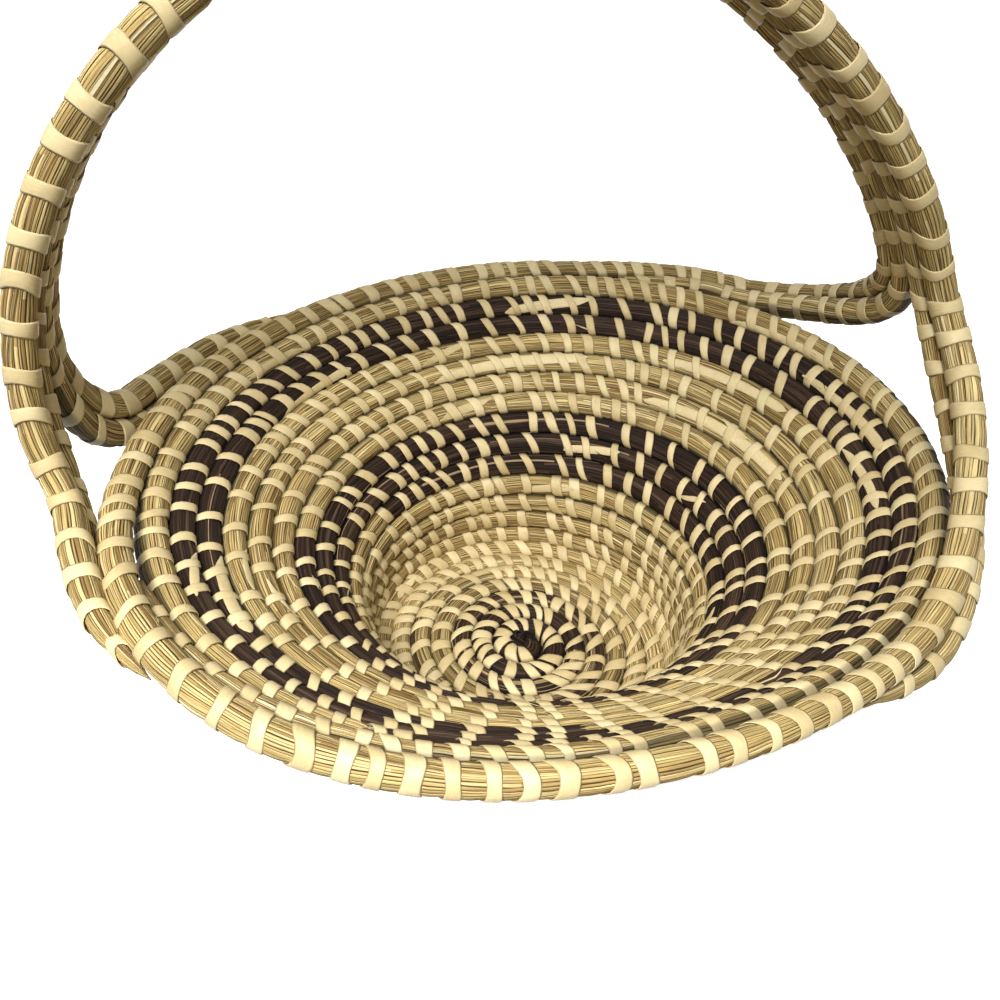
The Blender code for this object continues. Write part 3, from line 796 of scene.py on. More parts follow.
def bundle_tree() -> bpy.types.NodeTree:
    """Tree that turns a row's middle line into a bundle of strands, pinched at every stitch."""
    nodes, get = new_tree("grass_bundle", {
        "Strands": 38, "Groove": 0.16 * MM, "Press": 0.3 * MM, "Table": 0.2 * MM, "Power": 0.86, "Pinch": 0.32 * MM,
        "Pinch Width": 0.22, "Pinch Calm": 0.8, "Wander": 0.8, "Wander Length": 36 * MM, "Unevenness": 0.55 * MM,
        "Uneven Length": 14 * MM, "Uneven Width": 0.6, "Strand Step": 5.3, "Seed": 1.0, "Seed Step": 0.7})
    sides = get["Strands"] * 2.0
    ring = nodes.stored(nodes.ring(sides, 1.0), "corner", nodes.value("GeometryNodeInputIndex"))
    tube = nodes.tube(get["Geometry"], ring)
    corner = nodes.attribute("corner")
    along = nodes.attribute("along") + get["Seed"] * get["Seed Step"]
    angle = corner / sides * math.tau + math.pi
    across, up = angle.apply("COSINE"), angle.apply("SINE")
    tube = nodes.stored(tube, "grain", nodes.combined(across, up, along))
    # Painted shade: marks the bundle's sides towards its neighbours, which the material darkens.
    tube = nodes.stored(tube, "crease_shade", nodes.crease_shade(across))
    wander = nodes.noise(nodes.combined(across, up, along / get["Wander Length"]), 0.0)
    angle = angle + (wander - 0.5) * get["Wander"]
    chance = nodes.chance(corner + get["Seed"])
    angle = angle + (chance - 0.5) * (get["Uneven Width"] * (math.tau / get["Strands"]))
    strand = (corner / 2.0).apply("FLOOR")
    groove = (corner - strand * 2.0).apply("LESS_THAN", 0.5)
    uneven = nodes.noise(nodes.combined(strand * get["Strand Step"], along / get["Uneven Length"], 0.0), 1.0)
    apart = (nodes.attribute("phase") + 0.5).apply("FRACT") - 0.5
    squeeze = ((abs(apart) / get["Pinch Width"]) ** 2.0 * -1.0).apply("EXPONENT")
    rise = (uneven - 0.5) * get["Unevenness"] * (1.0 - squeeze * get["Pinch Calm"])
    radius = nodes.attribute("girth") + (rise - squeeze * get["Pinch"] - groove * get["Groove"])
    place = nodes.arrow("middle") + nodes.section(angle, radius, get)
    return end_tree(nodes.moved(tube, place, get["Table"]), get["Material"])


def stitch_tree() -> bpy.types.NodeTree:
    """Tree that wraps a strip of palmetto round the row at every point of a cloud."""
    nodes, get = new_tree("palmetto_stitches", {
        "Steps": 16, "Edges": 6, "Squareness": 0.4, "Thickness": 0.14 * MM, "Bulge": 0.3, "Press": 0.16 * MM,
        "Power": 0.86, "Taper": 0.2, "Bend": 0.35 * MM, "Bend Step": 40.0, "Least Height": 1.3})
    index = nodes.value("GeometryNodeInputIndex")
    ring = nodes.stored(nodes.ring(get["Steps"], 1.0), "wrap", index / get["Steps"])
    turn = index / get["Edges"] * math.tau
    cosine, sine = turn.apply("COSINE"), turn.apply("SINE")
    flat = cosine.apply("SIGN") * abs(cosine) ** get["Squareness"]
    edge = nodes.stored(nodes.stored(nodes.ring(get["Edges"], 0.1), "side", flat), "rise", sine)
    band = nodes.value("GeometryNodeCurveToMesh", {"Curve": ring, "Profile Curve": edge})
    copies = nodes.value("GeometryNodeInstanceOnPoints", {"Points": nodes.placed(get["Geometry"]), "Instance": band})
    strips = nodes.value("GeometryNodeRealizeInstances", {0: copies})
    angle, side = nodes.attribute("wrap") * math.tau, nodes.attribute("side")
    cosine = angle.apply("COSINE")
    # Painted shade: marks where a strip dips into the creases, which the material darkens.
    strips = nodes.stored(strips, "crease_shade", nodes.crease_shade(cosine))
    height = (nodes.attribute("rise") + (1.0 - side ** 2.0) * get["Bulge"]) * get["Thickness"]
    half = side * nodes.attribute("band") * 0.5
    bend = angle.apply("MULTIPLY_ADD", 2.0, nodes.attribute("tone") * get["Bend Step"]).apply("SINE")
    shift = half * (1.0 - cosine ** 2.0 * get["Taper"]) + nodes.attribute("slant") * (cosine * 0.5)
    shift = shift + bend * get["Bend"]
    step = nodes.section(angle, nodes.attribute("girth") + height, get)
    curving = nodes.arrow("curving")
    dot = nodes.value("ShaderNodeVectorMath", {0: curving, 1: step}, 1, operation="DOT_PRODUCT")
    ahead = nodes.arrow("heading") * (shift * (1.0 - dot))
    place = nodes.arrow("middle") + step + (ahead + curving * (shift * shift * 0.5))
    return end_tree(nodes.moved(strips, place, get["Thickness"] * get["Least Height"] - height), get["Material"])


def tail_tree() -> bpy.types.NodeTree:
    """Tree that lays a flat strip along a row, bent round the row's surface."""
    nodes, get = new_tree("palmetto_tails", {"Edges": 12, "Thickness": 0.07 * MM, "Power": 0.86, "Press": 0.1 * MM})
    turn = nodes.value("GeometryNodeInputIndex") / get["Edges"] * math.tau
    edge = nodes.stored(nodes.ring(get["Edges"], 1.0 * MM), "side", turn.apply("COSINE"))
    strip = nodes.tube(get["Geometry"], nodes.stored(edge, "rise", turn.apply("SINE")))
    girth, rise = nodes.attribute("girth"), nodes.attribute("rise")
    half = nodes.attribute("band") * 0.5 / girth
    angle = nodes.attribute("slant") + nodes.attribute("side") * (half * -1.0)
    place = nodes.arrow("middle") + nodes.section(angle, girth + rise * get["Thickness"], get)
    return end_tree(nodes.moved(strip, place, (1.0 - rise) * get["Thickness"]), get["Material"])


class Finish(Enum):
    """The finishes of the basket."""

    SWEETGRASS = "sweetgrass"
    STREAKED = "streaked"
    MIXED = "mixed"
    DARK_GRASS = "dark_grass"
    PALMETTO = "palmetto"

    @property
    def slot(self) -> str:
        """The record's material slot that the finish belongs to."""
        return "dark_grass" if self in (Finish.MIXED, Finish.DARK_GRASS) else "sweetgrass"


@dataclass(frozen=True)
class Coat:
    """What the finishes share.

    Attributes:
        name: The material's name.
        roughness: How matt it is.
        specular: How strongly it reflects.
        crease_shade: Where the shade painted towards a crease starts, where it is full, and what it leaves of the
            colour.
        bump: Strength and depth of the bump.
    """

    name: str
    roughness: float
    specular: float
    crease_shade: tuple[float, float, float]
    bump: tuple[float, float]

    def dressed(self, nodes: Nodes) -> tuple[Value, Value]:
        """The finish's colour and bump height."""
        raise NotImplementedError

    def material(self) -> bpy.types.Material:
        """Builds the material on the piece's own attributes."""
        material = bpy.data.materials.new(self.name)
        material.use_nodes = True
        nodes = Nodes(material.node_tree)
        colour, height = self.dressed(nodes)
        start, full, dark = self.crease_shade
        # Painted shade: the colour is darkened towards the creases between rows.
        colour = colour * nodes.mapped(nodes.shading("crease_shade"), start, full, 1.0, dark, "SMOOTHSTEP")
        strength, depth = self.bump
        bump = nodes.value("ShaderNodeBump", {"Height": height, "Strength": strength, "Distance": depth})
        nodes.fill(material.node_tree.nodes["Principled BSDF"], {
            "Base Color": colour, "Normal": bump, "Roughness": self.roughness, "Specular IOR Level": self.specular})
        return material


@dataclass(frozen=True)
class Grass(Coat):
    """Bundle of dry grass: strands with shade painted into the gaps between them.

    Attributes:
        shades: Colours of single strands, from dark to light.
        gap_shade: Colour of the shade painted into the gaps between strands.
        bleached: Colour of stray pale strands.
        bleached_share: How many strands are pale.
        strands: Strands round the bundle, as in its mesh.
        strand_length: How far a strand keeps its shade.
        fibre_length: How far a fibre keeps its tone.
        cloud_length: How far a cloudy patch reaches.
        gap_length: How far a gap keeps its width.
    """

    shades: tuple[Colour, ...]
    gap_shade: Colour
    bleached: Colour
    bleached_share: float
    strands: float = 38.0
    strand_length: float = 55 * MM
    fibre_length: float = 9 * MM
    cloud_length: float = 22 * MM
    gap_length: float = 16 * MM

    def dressed(self, nodes: Nodes) -> tuple[Value, Value]:
        """The strands' colour, with shade painted into the gaps between them, and their rounding, on the bundle's own
        grain attribute.
        """
        grain = nodes.add("ShaderNodeSeparateXYZ", {0: nodes.shading("grain", "Vector")}).outputs
        across, up, along = (Value(nodes, socket) for socket in grain)

        def noise(place: Value, length: float, detail: float = 1.0, third: object = 0.0) -> Value:
            return nodes.noise(nodes.combined(place, along / length, third), detail, roughness=0.6)

        strand = (up.apply("ARCTAN2", across) / math.tau + 0.5) * self.strands
        number = strand.apply("FLOOR")
        edge = 0.5 - abs(strand.apply("FRACT") - 0.5)
        stretch = (along / self.strand_length + nodes.chance(number) * 9.0).apply("FLOOR")
        pick = nodes.add("ShaderNodeTexWhiteNoise", {"Vector": nodes.combined(number, stretch, 0.0)},
                         noise_dimensions="3D").outputs
        ramp = nodes.add("ShaderNodeValToRGB", {0: Value(nodes, pick[0])})
        elements = ramp.color_ramp.elements
        for place, shade in enumerate(self.shades):
            at = place / (len(self.shades) - 1)
            element = elements[0] if place == 0 else elements[-1] if place == len(self.shades) - 1 else elements.new(at)
            element.position, element.color = at, (*shade, 1)
        fibre = noise(strand * 5.0, self.fibre_length, 2.0, 3.7)
        cloud = noise(across * 0.8, self.cloud_length, 1.0, up * 0.8)
        tone = nodes.mapped(fibre, 0.28, 0.72, 0.55, 1.20) + nodes.mapped(cloud, 0.3, 0.7, -0.12, 0.14)
        green = nodes.value("ShaderNodeSeparateColor", {0: Value(nodes, pick[1])}, 1)
        pale = green.apply("GREATER_THAN", 1 - self.bleached_share)
        colour = nodes.mixed(pale, Value(nodes, ramp.outputs[0]) * tone, (*self.bleached, 1))
        # Painted shade: the gap colour darkens the grooves between strands.
        width = nodes.mapped(noise((strand + 0.5).apply("FLOOR") * 3.3, self.gap_length), 0.35, 0.7, 0.07, 0.30)
        shown = nodes.mapped(edge / width, 0.35, 1.0, kind="SMOOTHSTEP")
        rounded = nodes.mapped(edge, 0.0, 0.32, kind="SMOOTHSTEP")
        return nodes.mixed(shown, (*self.gap_shade, 1), colour), rounded + fibre * 0.5


@dataclass(frozen=True)
class Palmetto(Coat):
    """Strip of palmetto leaf: pale, with fine ribs along it."""

    light: Colour = (0.74, 0.61, 0.345)
    shade: Colour = (0.50, 0.38, 0.17)
    greenish: Colour = (0.60, 0.55, 0.27)

    def dressed(self, nodes: Nodes) -> tuple[Value, Value]:
        """The strip's colour and its ribs, on the strip's own attributes."""
        side, wrap, tone = (nodes.shading(name) for name in ("side", "wrap", "tone"))
        ribs = nodes.noise(nodes.combined(side * 3.0, wrap * 4.0, tone * 97.0), 3.0, 3.0, 0.6)
        stain = nodes.noise(nodes.value("ShaderNodeTexCoord", output="Object"), 2.0, 260.0)
        share = nodes.mapped(ribs * 0.5 + (stain * 0.3 + tone * 0.3), 0.3, 0.75)
        colour = nodes.mixed(share, (*self.shade, 1), (*self.light, 1))
        return nodes.mixed(nodes.mapped(tone, 0.93, 1.0, 0.0, 0.4), colour, (*self.greenish, 1)), ribs


def grass(name: str, shades: tuple[Colour, ...], gap_shade: Colour, bleached: Colour, bleached_share: float) -> Grass:
    """A grass finish with the looks that all grass shares."""
    # Painted shade: the second colour is shade painted into the gaps between strands, and (0.68, 0.97, 0.18) darkens
    # the colour towards the creases between rows.
    return Grass(name, 0.65, 0.18, (0.68, 0.97, 0.18), (0.7, 0.3 * MM), shades, gap_shade, bleached, bleached_share)


COATS = {
    Finish.SWEETGRASS: grass(
        "sweetgrass_bundle", ((0.27, 0.165, 0.055), (0.49, 0.35, 0.13), (0.61, 0.455, 0.185), (0.74, 0.58, 0.27)),
        (0.050, 0.023, 0.006), (0.76, 0.64, 0.36), 0.04),
    Finish.STREAKED: grass(
        "streaked_bundle", ((0.045, 0.020, 0.012), (0.32, 0.215, 0.08), (0.48, 0.36, 0.14), (0.64, 0.50, 0.22)),
        (0.045, 0.022, 0.008), (0.74, 0.62, 0.34), 0.04),
    Finish.MIXED: grass(
        "mixed_bundle", ((0.022, 0.009, 0.006), (0.050, 0.022, 0.014), (0.13, 0.080, 0.040), (0.50, 0.38, 0.17)),
        (0.010, 0.005, 0.003), (0.55, 0.43, 0.22), 0.10),
    Finish.DARK_GRASS: grass(
        "dark_bundle", ((0.012, 0.0055, 0.003), (0.026, 0.0125, 0.007), (0.048, 0.025, 0.014), (0.09, 0.053, 0.030)),
        (0.004, 0.002, 0.001), (0.34, 0.23, 0.12), 0.02),
    # Painted shade: (0.72, 1.0, 0.34) darkens the strips where they dip into the creases between rows.
    Finish.PALMETTO: Palmetto("palmetto", 0.5, 0.4, (0.72, 1.0, 0.34), (0.35, 0.15 * MM)),
}


class Maker:
    """Turns middle lines and clouds into finished pieces, through the node trees."""

    stitch_lift = 0.17 * MM
    sewn_share = 0.45

    def __init__(self) -> None:
        """Builds the trees and the materials once."""
        self.collection = bpy.context.scene.collection
        self.bundles, self.stitches, self.tails = bundle_tree(), stitch_tree(), tail_tree()
        self.materials = {finish: coat.material() for finish, coat in COATS.items()}

    def finished(self, name: str, points: np.ndarray, edges: list, values: dict[str, np.ndarray],
                 tree: bpy.types.NodeTree, finish: Finish, **inputs: float) -> bpy.types.Object:
        """Runs a tree on a line or cloud and keeps the result as a plain mesh.

        Args:
            name: The piece's name.
            points: The points.
            edges: Pairs of points that are joined.
            values: Named values for each point.
            tree: The Geometry Nodes tree.
            finish: What it is made of.
            inputs: Values for the tree's named inputs.

        Returns:
            The piece, riding on the basket.
        """
        mesh = bpy.data.meshes.new(name)
        mesh.from_pydata([tuple(point) for point in points], edges, [])
        for key, data in values.items():
            kind, part = ("FLOAT_VECTOR", "vector") if data.ndim == 2 else ("FLOAT", "value")
            mesh.attributes.new(key, kind, "POINT").data.foreach_set(part, data.astype(np.float32).ravel())
        source = bpy.data.objects.new(name + "_line", mesh)
        self.collection.objects.link(source)
        modifier = source.modifiers.new("made", "NODES")
        modifier.node_group = tree
        named = {item.name: item.identifier for item in tree.interface.items_tree if item.in_out == "INPUT"}
        for key, value in {"Material": self.materials[finish], **inputs}.items():
            modifier[named[key]] = value
        graph = bpy.context.evaluated_depsgraph_get()
        result = bpy.data.meshes.new_from_object(source.evaluated_get(graph))
        result.name = name
        piece = bpy.data.objects.new(name, result)
        self.collection.objects.link(piece)
        source.modifiers.remove(modifier)
        bpy.data.objects.remove(source)
        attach(piece, "root")
        LOG.info("%s: %d faces", name, len(result.polygons))
        return piece

    def bundle(self, row: Row, finish: Finish, seed: float, node: str = "", press: float = 0.3 * MM) -> None:
        """Makes a row's bundle of strands.

        Args:
            row: The row's middle line.
            finish: What it is made of.
            seed: Seed of the strands' unevenness.
            node: The CAD node that it stands for, where that has another name.
            press: How far the row is pressed against its neighbours.
        """
        count = len(row.points)
        values = {"girth": row.girths, "outward": row.outward, "heading": row.headings, "along": row.lengths,
                  "phase": row.phases, **row.crease_shade_values(count)}
        edges = [(index, index + 1) for index in range(count - 1)]
        name = row.name + "_bundle"
        piece = self.finished(name, row.points, edges, values, self.bundles, finish, Seed=seed, Press=press)
        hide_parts(node or row.name)

    def sewn(self, name: str, row: Row, band: float, seed: int, stray: float = 0) -> None:
        """Wraps a strip round the row at each whole count of stitches.

        Args:
            name: The piece's name.
            row: The row that is sewn.
            band: The strip's width.
            seed: Seed of the small differences.
            stray: How far a stitch strays from its place, as a share of their distance.
        """
        random = np.random.default_rng(seed)
        first, last = math.ceil(row.phases[0] + 0.25), math.floor(row.phases[-1] - 0.25)
        at = np.arange(first, last + 1) + random.uniform(-stray, stray, last - first + 1)
        at = at[np.interp(at, row.phases, row.girths) > self.sewn_share * row.girths.max()]
        count = len(at)
        middles, girths, outward, headings, curving, leans = (read(values, row.phases, at) for values in (
            row.points, row.girths, row.outward, row.headings, row.curving, row.leans))
        values = {
            "girth": girths + self.stitch_lift, "outward": outward, "heading": headings, "curving": curving,
            "band": band * random.normal(1, 0.12, count).clip(0.7, 1.35),
            "slant": leans * random.normal(1, 0.25 + 2 * stray, count),
            "tone": random.uniform(0, 1, count), **row.crease_shade_values(count),
        }
        self.finished(name, middles, [], values, self.stitches, Finish.PALMETTO)


@dataclass(frozen=True)
class Stretch:
    """A stretch of the bowl's winding that is one colour.

    Attributes:
        name: The stretch's name.
        node: The CAD node that it belongs to.
        turns: Where it starts and ends.
        finish: What it is made of.
        band: Width of the strips round it.
        press: How far its rows are pressed together.
        tip: Length of its thin start.
    """

    name: str
    node: str
    turns: tuple[float, float]
    finish: Finish
    band: float
    press: float = 0.3 * MM
    tip: float = 12 * MM


@dataclass(frozen=True)
class Knot:
    """A loop of the knot of dark grass from which the coil starts.

    Attributes:
        name: The loop's name.
        turned: How far it is turned.
        loop: Size of its lobes.
        girth: Its thickness, as a radius.
        height: How high it lies.
        depth: How far it rises and sinks.
        lopsided_share: How unequal its lobes are.
        long_share: How much longer than wide it is.
        long_way: Direction in which it is long.
        count: Points along it.
    """

    name: str = "centre_knot"
    turned: float = 0.0
    loop: float = 1.0 * MM
    girth: float = 0.95 * MM
    height: float = 5.4 * MM
    depth: float = 1.2 * MM
    lopsided_share: float = 0.28
    long_share: float = 1.35
    long_way: float = math.radians(-50)
    count: int = 120

    def row(self) -> Row:
        """Follows the knot once round, with directions that turn no more than they must."""
        turns = np.linspace(0, math.tau, self.count)
        lopsided = 1 + self.lopsided_share * np.sin(turns + 1)
        points = np.stack([lopsided * self.loop * (np.sin(turns) + 2 * np.sin(2 * turns)),
                           lopsided * self.loop * (np.cos(turns) - 2 * np.cos(2 * turns)),
                           self.height - self.depth * np.sin(3 * turns)], axis=1)
        turning = Matrix.Rotation(self.turned, 3, "Z")
        stretching = Matrix.Scale(self.long_share, 3, Vector((math.cos(self.long_way), math.sin(self.long_way), 0)))
        points = points @ np.array((stretching @ turning).transposed())
        row = Row(self.name, points, np.full(self.count, self.girth), points, np.full(self.count, 0.5),
                  np.zeros(self.count))
        outward = [np.array((0.0, 0.0, 1.0))]
        for ahead in row.headings:
            across = outward[-1] - ahead * outward[-1].dot(ahead)
            outward.append(across / np.linalg.norm(across))
        row.outward = np.array(outward[1:])
        return row


@dataclass(frozen=True)
class Splice:
    """Tail of a palmetto strip that lies along a row, under the stitches.

    Attributes:
        turns: Where it starts and ends on the winding.
        angles: Degrees from the outward direction towards the inside of the bowl at its start and end.
        width: The strip's width.
    """

    turns: tuple[float, float]
    angles: tuple[float, float]
    width: float


@dataclass(frozen=True)
class Splices:
    """Loose ends along the rows: some at their places and the rest strewn over the bowl."""

    sewing: Sewing
    name: str = "palmetto_tails"
    finish: Finish = Finish.PALMETTO
    seen: tuple[Splice, ...] = (
        Splice((19.975, 20.03), (125, 75), 3.4 * MM),
        Splice((16.915, 17.035), (135, 60), 3.8 * MM),
        Splice((13.03, 13.085), (110, 80), 2.6 * MM),
        Splice((18.085, 18.175), (110, 90), 3.2 * MM),
        Splice((16.085, 16.215), (120, 80), 3.6 * MM),
        Splice((21.11, 21.175), (150, 120), 3.4 * MM),
        Splice((20.165, 20.235), (125, 95), 3.0 * MM),
        Splice((19.22, 19.27), (110, 90), 2.4 * MM),
        Splice((20.80, 20.84), (110, 130), 3.0 * MM),
        Splice((18.80, 18.86), (150, 110), 3.2 * MM),
        Splice((18.63, 18.68), (70, 110), 3.6 * MM),
        Splice((14.91, 14.96), (120, 70), 3.0 * MM),
        Splice((10.99, 11.05), (120, 80), 3.0 * MM),
        Splice((17.91, 17.95), (130, 60), 2.6 * MM),
    )
    strewn: int = 34
    strewn_turns: tuple[float, float] = (4.5, 21.2)
    lengths: tuple[float, float] = (8 * MM, 22 * MM)
    widths: tuple[float, float] = (1.4 * MM, 2.8 * MM)
    lift: float = 0.15 * MM
    tip: float = 4 * MM
    curl: float = 0.8 * MM
    wrap_length: float = 20 * MM
    count: int = 22
    seed: int = 11

    def all(self) -> list[Splice]:
        """The tails in view and the strewn ones, two thirds of those on the bowl's outside."""
        random = np.random.default_rng(self.seed)
        result = list(self.seen)
        for index in range(self.strewn):
            start = random.uniform(*self.strewn_turns)
            radius = self.sewing.winding.wall_point(start, 0).x
            turns = (start, start + random.uniform(*self.lengths) / (math.tau * radius))
            side = 1 if index % 3 == 0 else -1
            angles = (side * random.uniform(60, 130), side * random.uniform(60, 130))
            result.append(Splice(turns, angles, random.uniform(*self.widths)))
        return result

    def build(self, maker: Maker) -> None:
        """Lays every tail as one piece."""
        parts: list[dict[str, np.ndarray]] = []
        edges: list[tuple[int, int]] = []
        random = np.random.default_rng(self.seed + 1)
        for splice in self.all():
            row = winding_row("splice", self.sewing, splice.turns, 0.5 * MM)
            at = np.linspace(0, row.lengths[-1], self.count)
            middles, outward, headings, girths = (read(values, row.lengths, at) for values in (
                row.points, row.outward, row.headings, row.girths))
            free = [np.clip(1 - ends / (self.tip * random.uniform(0.5, 1.5)), 0, 1) for ends in (at, at[-1] - at)]
            raised = self.curl * (random.uniform(0, 1) * free[0] ** 2 + random.uniform(0, 1) * free[1] ** 2)
            wave = random.normal(0, 1, 4).cumsum()
            waving = np.interp(at, np.linspace(0, at[-1], 4), wave - wave.mean())
            first = len(parts) * self.count
            edges.extend((index, index + 1) for index in range(first, first + self.count - 1))
            parts.append({
                "middle": middles, "outward": outward, "heading": headings, "girth": girths + self.lift + raised,
                "slant": np.radians(np.interp(at, (0, at[-1]), splice.angles) + 4 * waving),
                "band": splice.width * (1 - 0.8 * np.maximum(*free) ** 1.3) * (1 + 0.06 * waving),
                "tone": np.full(self.count, random.uniform(0, 0.9)), "wrap": at / self.wrap_length,
            })
        arrays = {key: np.concatenate([part[key] for part in parts]) for key in parts[0]}
        maker.finished(self.name, arrays.pop("middle"), edges, arrays, maker.tails, self.finish)


@dataclass(frozen=True)
class Basket:
    """The whole basket."""

    sewing: Sewing
    step: float = 1.9 * MM
    overlap: float = 12 * MM
    tip_share: float = 0.5
    knots: tuple[Knot, ...] = (
        Knot(), Knot("knot_under", math.radians(65), 1.15 * MM, 1.0 * MM, 4.3 * MM, 0.8 * MM))
    packing_turns: tuple[float, float] = (0.0, 2.6)
    packing_share: float = 0.5
    packing_drop: float = 1.0 * MM
    core_stray: float = 0.13
    stretches: tuple[Stretch, ...] = (
        Stretch("core_dark", "core_coil", (0.0, 2.35), Finish.DARK_GRASS, 3.5 * MM, 0.45 * MM, 3 * MM),
        Stretch("core_mixed", "core_coil", (2.20, 3.62), Finish.MIXED, 4.0 * MM, 0.45 * MM),
        Stretch("base_streaked", "base_coil", (3.50, 5.00), Finish.STREAKED, 4.2 * MM, 0.45 * MM),
        Stretch("base_natural", "base_coil", (4.90, 7.03), Finish.SWEETGRASS, 4.2 * MM, 0.45 * MM),
        Stretch("lower_wall", "lower_wall_coil", (6.97, 11.84), Finish.SWEETGRASS, 4.0 * MM, 0.3 * MM),
        Stretch("lower_dark", "lower_dark_band", (11.80, 14.75), Finish.DARK_GRASS, 3.5 * MM),
        Stretch("middle_wall", "middle_wall_coil", (14.71, 18.50), Finish.SWEETGRASS, 3.7 * MM),
        Stretch("upper_dark", "upper_dark_band", (18.47, 20.57), Finish.DARK_GRASS, 3.5 * MM),
        Stretch("upper_wall", "upper_wall_coil", (20.55, 21.66), Finish.SWEETGRASS, 3.8 * MM),
    )
    straws: tuple[tuple[str, Finish, tuple[float, float], int, int], ...] = (
        ("pale_straws", Finish.PALMETTO, (5.0, 21.4), 46, 71),
        ("dark_straws_low", Finish.DARK_GRASS, (11.9, 14.6), 7, 72),
        ("dark_straws_high", Finish.DARK_GRASS, (18.5, 20.5), 8, 75))
    straw_lengths: tuple[float, float] = (5 * MM, 14 * MM)
    straw_widths: tuple[float, float] = (0.35 * MM, 0.65 * MM)
    straw_curl: float = 1.6 * MM
    handle_stray: float = 0.12
    # Painted crease shade for the rim and outer handle rows: on their inner side only, none on their open outer side.
    edge_crease_shades: tuple[float, float] = (1.0, 0.0)
    edge_rows: tuple[str, ...] = ("handle_row_back_outer", "handle_row_front_outer")
    rim_band: float = 4.2 * MM
    handle_band: float = 4.8 * MM

    def build(self, maker: Maker) -> None:
        """Builds every piece in order."""
        for number, knot in enumerate(self.knots):
            maker.bundle(knot.row(), Finish.DARK_GRASS, 3.0 + number, "centre_knot")
        packing = winding_row("packing", self.sewing, self.packing_turns, self.step)
        maker.bundle(packing.beside(1.0, self.packing_share, self.packing_drop), Finish.DARK_GRASS, 5.0, "core_coil")
        for number, stretch in enumerate(self.stretches):
            row = winding_row(stretch.name, self.sewing, stretch.turns, self.step)
            row = row.thinned(stretch.tip, self.overlap, self.tip_share)
            maker.bundle(row, stretch.finish, number + 1.0, stretch.node, stretch.press)
            stray = self.core_stray if stretch.node == "core_coil" else 0.0
            maker.sewn(stretch.name + "_stitches", row, stretch.band, number + 10, stray)
        rim = rim_row(self.sewing, self.step)
        rim.crease_shades = self.edge_crease_shades
        maker.bundle(rim, Finish.SWEETGRASS, 9.0)
        maker.sewn("rim_stitches", rim, self.rim_band, 30)
        for number, row in enumerate(Handle(self.sewing.winding).rows()):
            if row.name in self.edge_rows:
                row.crease_shades = self.edge_crease_shades
            maker.bundle(row, Finish.SWEETGRASS, 20.0 + number)
            maker.sewn(row.name + "_stitches", row, self.handle_band, 40 + number, self.handle_stray)
        Splices(self.sewing).build(maker)
        for name, finish, turns, count, seed in self.straws:
            Splices(self.sewing, name, finish, (), count, turns, self.straw_lengths, self.straw_widths,
                    curl=self.straw_curl, seed=seed).build(maker)


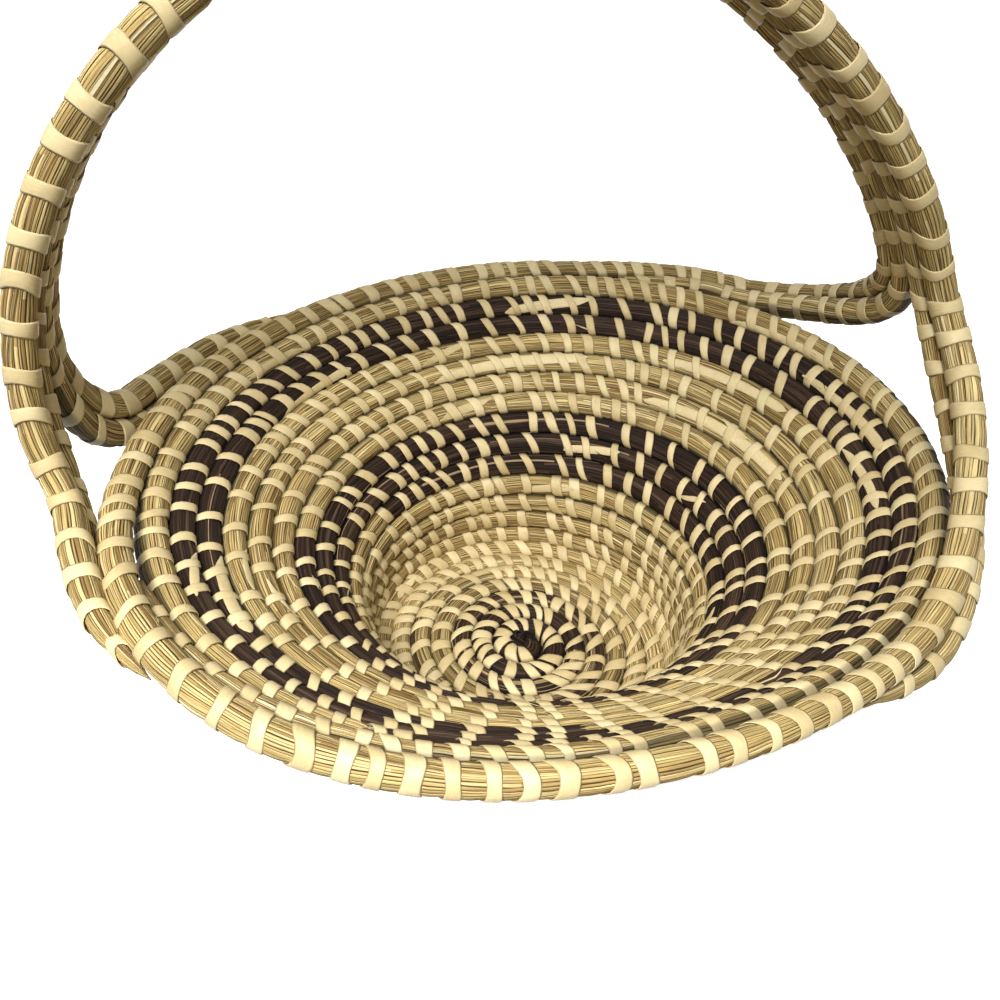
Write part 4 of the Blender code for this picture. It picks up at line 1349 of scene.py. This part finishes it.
@dataclass(frozen=True)
class Studio:
    """Camera, floor and lights."""

    camera_place: tuple[float, float, float] = (-67.3 * MM, -208.2 * MM, 228.6 * MM)
    pan: float = math.radians(14.6)
    tilt: float = math.radians(36.62)
    roll: float = math.radians(5.02)
    lens: float = 31.54
    sensor: float = 36.0
    lamps: tuple[tuple[str, tuple[float, float, float], float, float, float], ...] = (
        ("high_lamp", (-0.35, -0.45, 1.2), 0.7, 5.0, 180), ("near_lamp", (-0.20, -0.36, 0.51), 0.26, 0.88, 68))
    aim: tuple[float, float, float] = (-0.09, -0.125, 0.07)
    room_light: float = 0.3
    paper_seen: float = 0.8
    paper_bounce: float = 0.2
    glow_near: float = 0.6
    glow_far: float = 1.0
    glow_from: float = 0.13
    glow_to: float = 0.3
    half_floor: float = 6.0
    floor_drop: float = 0.2 * MM

    def shown(self, nodes: Nodes, *rays: str) -> Value:
        """Whether a place is looked at by the camera or in a reflection, or by other rays."""
        path = nodes.add("ShaderNodeLightPath").outputs
        seen = Value(nodes, path["Is Camera Ray"])
        for ray in ("Is Glossy Ray", *rays):
            seen = seen.apply("MAXIMUM", Value(nodes, path[ray]))
        return seen

    def camera(self) -> None:
        """Sets the camera where the photographer stood."""
        data = bpy.data.cameras.new("camera")
        data.lens, data.sensor_width = self.lens, self.sensor
        data.clip_start, data.clip_end = 0.01, 20
        flat = math.cos(self.tilt)
        ahead = Vector((math.sin(self.pan) * flat, math.cos(self.pan) * flat, -math.sin(self.tilt)))
        right = ahead.cross(Vector((0, 0, 1))).normalized()
        up = right.cross(ahead)
        turned = Matrix.Rotation(-self.roll, 3, ahead)
        right, up = turned @ right, turned @ up
        matrix = Matrix((right, up, -ahead)).transposed().to_4x4()
        matrix.translation = self.camera_place
        camera = bpy.data.objects.new("camera", data)
        camera.matrix_world = matrix
        bpy.context.scene.collection.objects.link(camera)
        bpy.context.scene.camera = camera

    def floor(self) -> None:
        """Lays a pale floor that shows white to the camera and keeps a soft shadow."""
        mesh = bpy.data.meshes.new("floor")
        half = self.half_floor
        mesh.from_pydata([(-half, -half, 0), (half, -half, 0), (half, half, 0), (-half, half, 0)], [], [(0, 1, 2, 3)])
        floor = bpy.data.objects.new("floor", mesh)
        bpy.context.scene.collection.objects.link(floor)
        floor.location.z = -self.floor_drop
        material = bpy.data.materials.new("floor_paper")
        material.use_nodes = True
        nodes = Nodes(material.node_tree)
        shader = material.node_tree.nodes["Principled BSDF"]
        shown = self.shown(nodes)
        paper = nodes.mapped(shown, 0.0, 1.0, self.paper_bounce, self.paper_seen)
        nodes.fill(shader, {"Roughness": 1.0, "Specular IOR Level": 0.0, "Base Color": paper})
        place = nodes.value("ShaderNodeTexCoord", output="Object")
        far = nodes.value("ShaderNodeVectorMath", {0: place}, "Value", operation="LENGTH")
        strength = shown * nodes.mapped(far, self.glow_from, self.glow_to, self.glow_near, self.glow_far)
        glow = nodes.value("ShaderNodeEmission", {"Color": (1, 1, 1, 1), "Strength": strength})
        total = nodes.value("ShaderNodeAddShader", {0: Value(nodes, shader.outputs[0]), 1: glow})
        output = next(node for node in material.node_tree.nodes if node.type == "OUTPUT_MATERIAL")
        nodes.fill(output, {"Surface": total})
        mesh.materials.append(material)

    def lights(self) -> None:
        """Hangs a large soft lamp and a nearer small one, and lets the white room do the rest."""
        world = bpy.data.worlds.new("white_room")
        bpy.context.scene.world = world
        world.use_nodes = True
        nodes = Nodes(world.node_tree)
        strength = nodes.mapped(self.shown(nodes, "Is Transmission Ray"), 0.0, 1.0, self.room_light, 1.0)
        nodes.fill(world.node_tree.nodes["Background"], {"Strength": strength, "Color": (1, 1, 1, 1)})
        for name, place, size, power, spread in self.lamps:
            data = bpy.data.lights.new(name, "AREA")
            data.shape, data.size, data.energy, data.spread = "DISK", size, power, math.radians(spread)
            lamp = bpy.data.objects.new(name, data)
            lamp.location = place
            lamp.rotation_euler = (Vector(self.aim) - Vector(place)).to_track_quat("-Z", "Y").to_euler()
            bpy.context.scene.collection.objects.link(lamp)

    def build(self) -> None:
        """Sets up everything around the basket."""
        self.camera()
        self.floor()
        self.lights()
        bpy.context.scene.view_settings.view_transform = "Standard"


def main() -> None:
    """Builds the scene."""
    logging.basicConfig(level=logging.INFO, format="%(name)s: %(message)s")
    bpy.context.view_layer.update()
    Studio().build()
    Basket(Sewing(Winding())).build(Maker())


if __name__ == "__main__":
    main()
